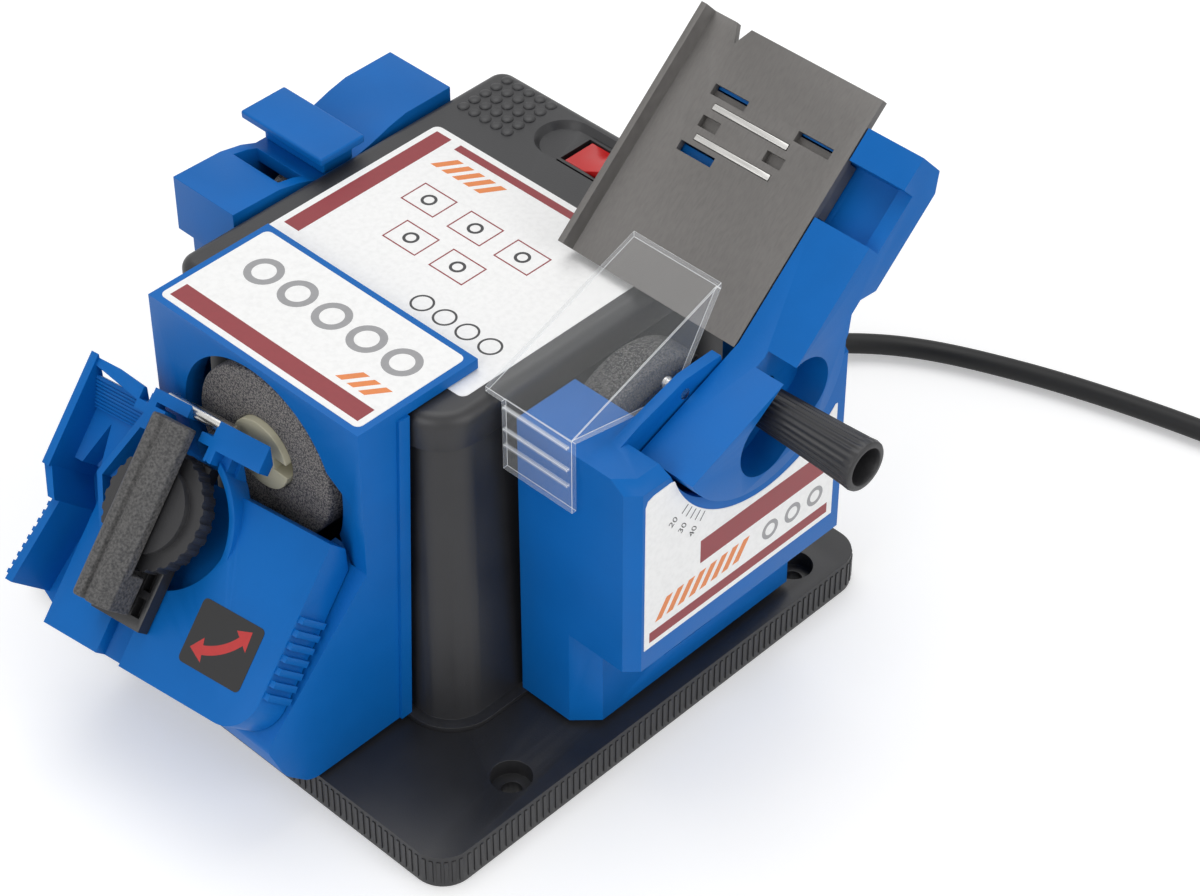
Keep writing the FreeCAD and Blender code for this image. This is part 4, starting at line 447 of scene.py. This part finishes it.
grey_grit = bonded_grit("grey_grit", (0.36, 0.335, 0.315), (0.042, 0.043, 0.050))
dark_grit = bonded_grit("dark_grit", (0.17, 0.165, 0.16), (0.012, 0.012, 0.014))
cream_plastic = moulded_plastic("cream_moulded", (0.56, 0.53, 0.39), (0.50, 0.47, 0.34), 0.4, 900.0)
for wheel, hub, body, grit in (("drill_wheel", "drill_wheel_hub", "drill_drive", grey_grit),
                               ("chisel_wheel", "chisel_wheel_hub", "rotor", dark_grit),
                               ("knife_wheel", "knife_wheel_hub", "rotor", grey_grit)):
    soften(finished(wheel + "_stone", merged_copy(wheel), grit, body, "abrasive", wheel), 0.0007)
    soften(finished(hub + "_moulding", merged_copy(hub), cream_plastic, body, "cream_hub", hub), 0.0004)


# Drill clamp: a black holder that slides in the cradle, a knurled thumbwheel, and the bar that presses
# on the drill. The bar has a coarse matt texture, and a steel stop rod crosses the posts behind it.
clamp_plastic = moulded_plastic("black_matt", (0.110, 0.107, 0.105), (0.030, 0.030, 0.031), 0.6, 1100.0,
                                0.0002, mottle=1500.0)
soften(finished("holder_moulding", merged_copy("holder_base"), black_plastic, "drill_clamp", "black_abs",
                "holder_base"), 0.0005, 2)
thumbwheel = finished("knurled_thumbwheel", merged_copy("holder_thumbwheel"), black_plastic, "thumbwheel",
                      "black_abs", "holder_thumbwheel")
for face in thumbwheel.data.polygons:
    face.use_smooth = len(face.vertices) == 4
soften(thumbwheel, 0.0003, 2)
soften(finished("clamp_bar_moulding", merged_copy("clamp_bar"), clamp_plastic, "clamp", "black_abs",
                "clamp_bar"), 0.0005, 2)
soften(finished("stop_rod_turned", merged_copy("stop_rod"), bright_steel, "cradle", "steel",
                "stop_rod"), 0.0003, 2)


# Chisel plate: a dark grey coated steel plate with windows, which rides across the arm.
# Two bright hardened wear bars lie between the windows.
grey_coat = turned_metal("grey_coat", (0.165, 0.157, 0.150), 0.5, 0.3, (60.0, 14.0, 14.0), 0.08)
soften(finished("coated_plate", merged_copy("chisel_plate"), grey_coat, "table", "grey_plate",
                "chisel_plate"), 0.0003, 2)
soften(finished("bright_wear_bars", merged_copy("wear_bars"), bright_steel, "table", "steel",
                "wear_bars"), 0.0002, 2)


# Arm knob: a long black plastic grip that clamps the arm in its seat.
# It flares slightly, with ridges along it and a hollow end.
knob_low, knob_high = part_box("arm_knob")
knob_middle = Vector((0.0, 0.028, 0.1015))
ridges, ridge_tall = 24, 0.00045
stations = [(knob_low.x, 0.0024, 0.0), (0.0879, 0.0024, 0.0), (0.088, 0.0050, 0.0), (0.0888, 0.0054, 0.6),
            (0.100, 0.0058, 1.0), (0.112, 0.0063, 1.0), (0.1195, 0.0067, 1.0), (0.1212, 0.0069, 0.3),
            (0.1222, 0.0067, 0.0), (knob_high.x, 0.0061, 0.0), (knob_high.x, 0.0051, 0.0),
            (0.1215, 0.0047, 0.0),
            (0.1105, 0.0045, 0.0)]
skin = bmesh.new()
ring = bmesh.ops.create_circle(skin, segments=ridges * 4, radius=1.0, cap_ends=True,
                               matrix=Matrix.Rotation(math.radians(90), 4, "Y"))["verts"]
loop = [edge for edge in skin.edges]
lies = {vertex: math.atan2(vertex.co.y, vertex.co.z) for vertex in ring}
for index, (along, radius, ridged) in enumerate(stations):
    if index:
        made = bmesh.ops.extrude_edge_only(skin, edges=loop)["geom"]
        ring = [part for part in made if isinstance(part, bmesh.types.BMVert)]
        loop = [part for part in made if isinstance(part, bmesh.types.BMEdge)
                and part.verts[0] in ring and part.verts[1] in ring]
        lies = {vertex: math.atan2(vertex.co.y - knob_middle.y, vertex.co.z - knob_middle.z)
                for vertex in ring}
    for vertex, turn in lies.items():
        step = round(turn * ridges * 4 / (2 * math.pi)) % 4
        out = radius - ridge_tall * ridged * (step in (2, 3))
        vertex.co = knob_middle + Vector((along, out * math.sin(turn), out * math.cos(turn)))
bmesh.ops.contextual_create(skin, geom=loop)
bmesh.ops.recalc_face_normals(skin, faces=skin.faces)
soften(finished("ridged_knob", skin, black_plastic, "arm_clamp", "black_abs", "arm_knob"), 0.0002, 1, 50.0)


# Wheel guard: clear moulded plastic sheet over the chisel wheel, hinged on a steel pin.
# Its flat walls are nearly unseen, light gathers in its cut edges, and three ridges cross its front lip.
def clear_sheet(name, face_on, aslant):
    made = bpy.data.materials.new(name)
    made.use_nodes = True
    links, nodes = made.node_tree.links, made.node_tree.nodes
    shader = nodes["Principled BSDF"]
    shader.inputs["Base Color"].default_value = (0.93, 0.95, 0.96, 1.0)
    shader.inputs["IOR"].default_value = 1.49
    slant = nodes.new("ShaderNodeLayerWeight")
    slant.inputs["Blend"].default_value = 0.3
    veil = nodes.new("ShaderNodeMapRange")
    veil.inputs["To Min"].default_value = face_on
    veil.inputs["To Max"].default_value = aslant
    links.new(slant.outputs["Facing"], veil.inputs["Value"])
    links.new(veil.outputs["Result"], shader.inputs["Alpha"])
    place = nodes.new("ShaderNodeTexCoord")
    ripple = nodes.new("ShaderNodeTexNoise")
    ripple.inputs["Scale"].default_value = 60.0
    links.new(place.outputs["Object"], ripple.inputs["Vector"])
    haze = nodes.new("ShaderNodeMapRange")
    haze.inputs["To Min"].default_value = 0.03
    haze.inputs["To Max"].default_value = 0.12
    links.new(ripple.outputs["Fac"], haze.inputs["Value"])
    links.new(haze.outputs["Result"], shader.inputs["Roughness"])
    return made


skin = merged_copy("wheel_guard")
guard_low, guard_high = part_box("wheel_guard")
lip_left, lip_tall, ridge_deep, ridge_tall, ridge_inset = 0.0512, 0.023, 0.0005, 0.0007, 0.0012
for share in (0.12, 0.42, 0.64):
    place = (Matrix.Translation(((lip_left + guard_high.x - ridge_inset) / 2, guard_low.y,
                                 guard_low.z + lip_tall * (1 - share)))
             @ Matrix.Diagonal((guard_high.x - ridge_inset - lip_left, 2 * ridge_deep, ridge_tall, 1.0)))
    bmesh.ops.create_cube(skin, size=1.0, matrix=place)
clear_guard = finished("clear_guard", skin, clear_sheet("clear_moulded", 0.015, 0.22), "guard", "clear_guard",
                       "wheel_guard")
clear_guard.data.materials.append(clear_sheet("clear_cut", 0.16, 0.36))
clear_guard.data.materials.append(clear_sheet("clear_edge", 0.70, 0.95))
edge_wide = 0.0018
for face in clear_guard.data.polygons:
    around = sum((clear_guard.data.vertices[start].co - clear_guard.data.vertices[end].co).length
                 for start, end in face.edge_keys)
    face.material_index = int(2 * face.area / around < edge_wide)
    face.use_smooth = False
soften(clear_guard, 0.0003, 2).modifiers["mould_radius"].material = 2


# Motor, shafts, gears, bearings and fixings: they sit inside the casings or under the base,
# in plain steel, cast zinc, bronze, carbon, ferrite, rubber and grey plastic.
inner_paints = {
    "steel": bright_steel,
    "rubber": flex_plastic,
    "zinc_casting": turned_metal("cast_zinc", (0.42, 0.42, 0.43), 0.5, 1.0, (25.0, 25.0, 25.0)),
    "bronze": turned_metal("sintered_bronze", (0.45, 0.30, 0.12), 0.42, 1.0, (30.0, 30.0, 30.0)),
    "carbon": moulded_plastic("brush_carbon", (0.03, 0.03, 0.03), (0.02, 0.02, 0.02), 0.7, 900.0),
    "magnet": turned_metal("magnet_ferrite", (0.05, 0.05, 0.055), 0.6, 0.2, (30.0, 30.0, 30.0)),
    "inner_plastic": moulded_plastic("grey_moulded", (0.09, 0.09, 0.095), (0.07, 0.07, 0.075), 0.5, 900.0),
    "green_board": moulded_plastic("board_laminate", (0.02, 0.14, 0.05), (0.015, 0.11, 0.04), 0.4, 700.0),
}
for subpart in frame["record"]["subparts"]:
    inner = frame["nodes"][subpart["node"]]
    if not inner.hide_render and subpart["material_slot"] in inner_paints:
        inner.data.materials.clear()
        inner.data.materials.append(inner_paints[subpart["material_slot"]])


# Labels: thin white satin films on the cover, on the drill unit and on the chisel unit's side.
# They carry plain bands, slanted bars and rings in dark red, orange and grey, and the arm's scale of angles.
def printed_film(name, colour, rough):
    """Printed film: satin, with the slight unevenness of ink."""
    made = bpy.data.materials.new(name)
    made.use_nodes = True
    links, nodes = made.node_tree.links, made.node_tree.nodes
    shader = nodes["Principled BSDF"]
    place = nodes.new("ShaderNodeTexCoord")
    ink = nodes.new("ShaderNodeTexNoise")
    ink.inputs["Scale"].default_value = 700.0
    ink.inputs["Detail"].default_value = 3.0
    links.new(place.outputs["Object"], ink.inputs["Vector"])
    tint = nodes.new("ShaderNodeValToRGB")
    tint.color_ramp.elements[0].position = 0.3
    tint.color_ramp.elements[0].color = (*[part * 0.94 for part in colour], 1.0)
    tint.color_ramp.elements[1].position = 0.6
    tint.color_ramp.elements[1].color = (*colour, 1.0)
    links.new(ink.outputs["Fac"], tint.inputs["Fac"])
    links.new(tint.outputs["Color"], shader.inputs["Base Color"])
    gloss = nodes.new("ShaderNodeMapRange")
    gloss.inputs["To Min"].default_value = rough - 0.05
    gloss.inputs["To Max"].default_value = rough + 0.05
    links.new(ink.outputs["Fac"], gloss.inputs["Value"])
    links.new(gloss.outputs["Result"], shader.inputs["Roughness"])
    return made


film_white = printed_film("film_white", (0.93, 0.93, 0.925), 0.4)
film_red = printed_film("film_dark_red", (0.27, 0.022, 0.03), 0.35)
film_orange = printed_film("film_orange", (0.80, 0.24, 0.06), 0.35)
film_ink = printed_film("film_ink", (0.03, 0.03, 0.033), 0.35)
film_grey = printed_film("film_grey", (0.33, 0.33, 0.34), 0.35)
sheet_thick, ink_thick = 0.00012, 0.00003


def flat_shape(skin, outline, place, low, thick):
    """A thin flat shape with the given outline, from low to low plus thick above its place."""
    corners = [skin.verts.new(place @ Vector((across, up, low))) for across, up in outline]
    face = skin.faces.new(corners)
    made = bmesh.ops.extrude_face_region(skin, geom=[face])["geom"]
    lift = place.to_3x3() @ Vector((0.0, 0.0, thick))
    bmesh.ops.translate(skin, verts=[part for part in made if isinstance(part, bmesh.types.BMVert)], vec=lift)


def block_outline(x0, x1, y0, y1, slant=0.0):
    return [(x0, y0), (x1, y0), (x1 + slant, y1), (x0 + slant, y1)]


def ring_shape(skin, centre, inner, outer, place, low, thick, first=0.0, turn=360.0, steps=32):
    """A thin flat ring or a stretch of one."""
    ends = []
    for radius in (inner, outer):
        angle = math.radians(first)
        ends.append(skin.verts.new(place @ Vector((centre[0] + radius * math.cos(angle),
                                                   centre[1] + radius * math.sin(angle), low))))
    edge = skin.edges.new(ends)
    axis = (place.to_3x3() @ Vector((0.0, 0.0, 1.0))).normalized()
    middle = place @ Vector((centre[0], centre[1], low))
    whole = turn > 359.0
    swept = bmesh.ops.spin(skin, geom=ends + [edge], cent=middle, axis=axis, angle=math.radians(turn),
                           steps=steps, use_merge=whole)
    faces = list({face for part in swept["geom_last"] for face in part.link_faces} | set(edge.link_faces))
    reached = set(faces)
    while faces:
        face = faces.pop()
        for border in face.edges:
            for beside in border.link_faces:
                if beside not in reached:
                    reached.add(beside)
                    faces.append(beside)
    made = bmesh.ops.extrude_face_region(skin, geom=list(reached))["geom"]
    bmesh.ops.translate(skin, verts=[part for part in made if isinstance(part, bmesh.types.BMVert)],
                        vec=axis * thick)


def round_corners(x0, x1, y0, y1, radius):
    outline = []
    for x, y, start in ((x1 - radius, y0 + radius, -90), (x1 - radius, y1 - radius, 0),
                        (x0 + radius, y1 - radius, 90), (x0 + radius, y0 + radius, 180)):
        for step in range(6):
            angle = math.radians(start + 18 * step)
            outline.append((x + radius * math.cos(angle), y + radius * math.sin(angle)))
    return outline


def film(name, paint, body, shapes, slot):
    """One colour of a label."""
    skin = bmesh.new()
    for make, *facts in shapes:
        make(skin, *facts)
    bmesh.ops.recalc_face_normals(skin, faces=skin.faces)
    piece = finished(name, skin, paint, body, slot)
    for face in piece.data.polygons:
        face.use_smooth = False
    return piece


on_cover = Matrix.Translation((0.0, 0.0, cover_top))
film("cover_film", film_white, "machine",
     [(flat_shape, round_corners(-0.041, 0.043, -0.028, 0.044, 0.002), on_cover, 0.0, sheet_thick)],
     "black_abs")
film("cover_film_red", film_red, "machine",
     [(flat_shape, block_outline(-0.039, -0.0335, -0.012, 0.042), on_cover, sheet_thick, ink_thick),
      (flat_shape, block_outline(-0.030, 0.041, 0.0395, 0.042), on_cover, sheet_thick, ink_thick)],
     "black_abs")
bar_pitch, bar_slant = 0.004, 0.004
film("cover_film_orange", film_orange, "machine",
     [(flat_shape, block_outline(-0.030 + bar_pitch * index, -0.0277 + bar_pitch * index, 0.031, 0.037,
                                 bar_slant), on_cover, sheet_thick, ink_thick)
      for index in range(5)], "black_abs")
panel_places = [(-0.019, 0.020), (-0.002, 0.020), (0.015, 0.020), (-0.011, 0.006), (0.006, 0.006)]
panel_frames = []
for x, y in panel_places:
    for outline in (block_outline(x - 0.006, x + 0.006, y - 0.0045, y - 0.0041),
                    block_outline(x - 0.006, x + 0.006, y + 0.0041, y + 0.0045),
                    block_outline(x - 0.006, x - 0.0056, y - 0.0041, y + 0.0041),
                    block_outline(x + 0.0056, x + 0.006, y - 0.0041, y + 0.0041)):
        panel_frames.append((flat_shape, outline, on_cover, sheet_thick, ink_thick))
film("cover_film_frames", film_red, "machine", panel_frames, "black_abs")
film("cover_film_ink", film_ink, "machine",
     [(ring_shape, place, 0.0014, 0.0022, on_cover, sheet_thick, ink_thick) for place in panel_places]
     + [(ring_shape, (0.010 + 0.008 * index, -0.010), 0.0026, 0.0032, on_cover, sheet_thick, ink_thick)
        for index in range(4)], "black_abs")

drill_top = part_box("drill_unit_shell")[1].z
on_drill = Matrix.Translation((0.0, -0.0377, drill_top))
film("drill_film", film_white, "machine",
     [(flat_shape, round_corners(-0.036, 0.036, -0.0178, 0.0178, 0.0018), on_drill, 0.0, sheet_thick)],
     "blue_abs")
film("drill_film_red", film_red, "machine",
     [(flat_shape, block_outline(-0.034, 0.034, -0.0160, -0.0105), on_drill, sheet_thick, ink_thick)],
     "blue_abs")
film("drill_film_orange", film_orange, "machine",
     [(flat_shape, block_outline(0.018 + bar_pitch * index, 0.0203 + bar_pitch * index, -0.0085, -0.003,
                                 bar_slant), on_drill, sheet_thick, ink_thick)
      for index in range(3)], "blue_abs")
film("drill_film_grey", film_grey, "machine",
     [(ring_shape, (-0.024 + 0.0125 * index, 0.006), 0.0032, 0.0052, on_drill, sheet_thick, ink_thick)
      for index in range(5)], "blue_abs")

chisel_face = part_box("chisel_unit_shell")[1].x
facing_right = Matrix(((0, 0, 1, 0), (1, 0, 0, 0), (0, 1, 0, 0), (0, 0, 0, 1)))
on_chisel = Matrix.Translation((chisel_face, 0.0, 0.0)) @ facing_right
hub_y, hub_z, film_clear = 0.0273, 0.1104, 0.0348
bite = [(hub_y + film_clear * math.cos(math.radians(angle)),
         hub_z + film_clear * math.sin(math.radians(angle)))
        for angle in range(-42, -163, -3)]
film("chisel_film", film_white, "machine",
     [(flat_shape, [(-0.0070, 0.1001), (-0.0130, 0.0999), (-0.0150, 0.0992), (-0.0158, 0.0975),
                    (-0.0158, 0.0495), (0.054, 0.0495), (0.054, 0.0870)] + bite, on_chisel, 0.0,
       sheet_thick)], "blue_abs")
film("chisel_film_red", film_red, "machine",
     [(flat_shape, block_outline(-0.014, 0.052, 0.0512, 0.0545), on_chisel, sheet_thick, ink_thick),
      (flat_shape, block_outline(0.004, 0.050, 0.0660, 0.0735), on_chisel, sheet_thick, ink_thick)],
     "blue_abs")
film("chisel_film_orange", film_orange, "machine",
     [(flat_shape, block_outline(-0.012 + bar_pitch * index, -0.0097 + bar_pitch * index, 0.0570, 0.0630,
                                 bar_slant), on_chisel, sheet_thick, ink_thick)
      for index in range(8)], "blue_abs")
film("chisel_film_grey", film_grey, "machine",
     [(ring_shape, (0.030 + 0.0085 * index, 0.0600), 0.0018, 0.0030, on_chisel, sheet_thick, ink_thick)
      for index in range(3)], "blue_abs")
ticks = []
for index in range(5):
    angle = math.radians(-143.0 + 3.57 * index)
    across, up = math.cos(angle), math.sin(angle)
    side = (-up * 0.00016, across * 0.00016)
    near, far = film_clear + 0.0005, film_clear + 0.0033
    ticks.append((flat_shape, [(hub_y + near * across + side[0], hub_z + near * up + side[1]),
                               (hub_y + far * across + side[0], hub_z + far * up + side[1]),
                               (hub_y + far * across - side[0], hub_z + far * up - side[1]),
                               (hub_y + near * across - side[0], hub_z + near * up - side[1])], on_chisel,
                  sheet_thick, ink_thick))
film("chisel_film_ticks", film_ink, "machine", ticks, "blue_abs")
for figure, angle in (("20", -144.5), ("30", -137.2), ("40", -129.9)):
    text = bpy.data.curves.new("scale_" + figure, "FONT")
    text.body = figure
    text.size = 0.0030
    text.extrude = ink_thick / 2
    text.align_x = "CENTER"
    text.align_y = "CENTER"
    text.resolution_u = 3
    holder = bpy.data.objects.new("scale_" + figure + "_text", text)
    scene.collection.objects.link(holder)
    bpy.context.view_layer.update()
    flat = bpy.data.meshes.new_from_object(holder.evaluated_get(bpy.context.evaluated_depsgraph_get()))
    bpy.data.objects.remove(holder)
    out = film_clear + 0.0062
    spot = (hub_y + out * math.cos(math.radians(angle)), hub_z + out * math.sin(math.radians(angle)))
    flat.transform(on_chisel @ Matrix.Translation((spot[0], spot[1], sheet_thick + ink_thick / 2))
                   @ Matrix.Rotation(math.radians(angle + 180), 4, "Z"))
    flat.materials.clear()
    flat.materials.append(film_ink)
    number = bpy.data.objects.new("scale_figure_" + figure, flat)
    scene.collection.objects.link(number)
    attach(number, "machine")


# Swing sticker: a glossy black film with round corners, stuck on the cradle's face.
# A bent red arrow with two heads shows that the cradle swings to both sides.
film_gloss = printed_film("sticker_black", (0.012, 0.012, 0.013), 0.14)
film_arrow = printed_film("sticker_red", (0.52, 0.03, 0.03), 0.25)
pivot = Matrix.Translation((0.0, -0.022, 0.0))
on_cradle = (Matrix.Translation((0.0, -0.060, 0.082)) @ Matrix.Rotation(math.radians(45), 4, "X")
             @ pivot @ Matrix.Rotation(math.radians(6), 4, "Z") @ pivot.inverted())
on_sticker = on_cradle @ Matrix.Translation((0.0165, -0.0425, 0.0))
film("swing_sticker", film_gloss, "cradle",
     [(flat_shape, round_corners(-0.0105, 0.0105, -0.0085, 0.0085, 0.0014), on_sticker, 0.0, sheet_thick)],
     "black_abs")
bow, bow_middle, bow_turn, bow_half = 0.0189, (-0.0099, 0.0147), 34.2, 18.0
heads = []
for side in (-1, 1):
    neck = math.radians(-90 + bow_turn + side * bow_half)
    tip = math.radians(-90 + bow_turn + side * (bow_half + 12))
    heads.append((flat_shape, [(bow_middle[0] + (bow - 0.0031) * math.cos(neck),
                                bow_middle[1] + (bow - 0.0031) * math.sin(neck)),
                               (bow_middle[0] + (bow + 0.0031) * math.cos(neck),
                                bow_middle[1] + (bow + 0.0031) * math.sin(neck)),
                               (bow_middle[0] + bow * math.cos(tip), bow_middle[1] + bow * math.sin(tip))],
                  on_sticker, sheet_thick, ink_thick))
film("swing_arrow", film_arrow, "cradle",
     [(ring_shape, bow_middle, bow - 0.0012, bow + 0.0012, on_sticker, sheet_thick, ink_thick,
       -90 + bow_turn - bow_half, 2 * bow_half, 16)] + heads, "black_abs")
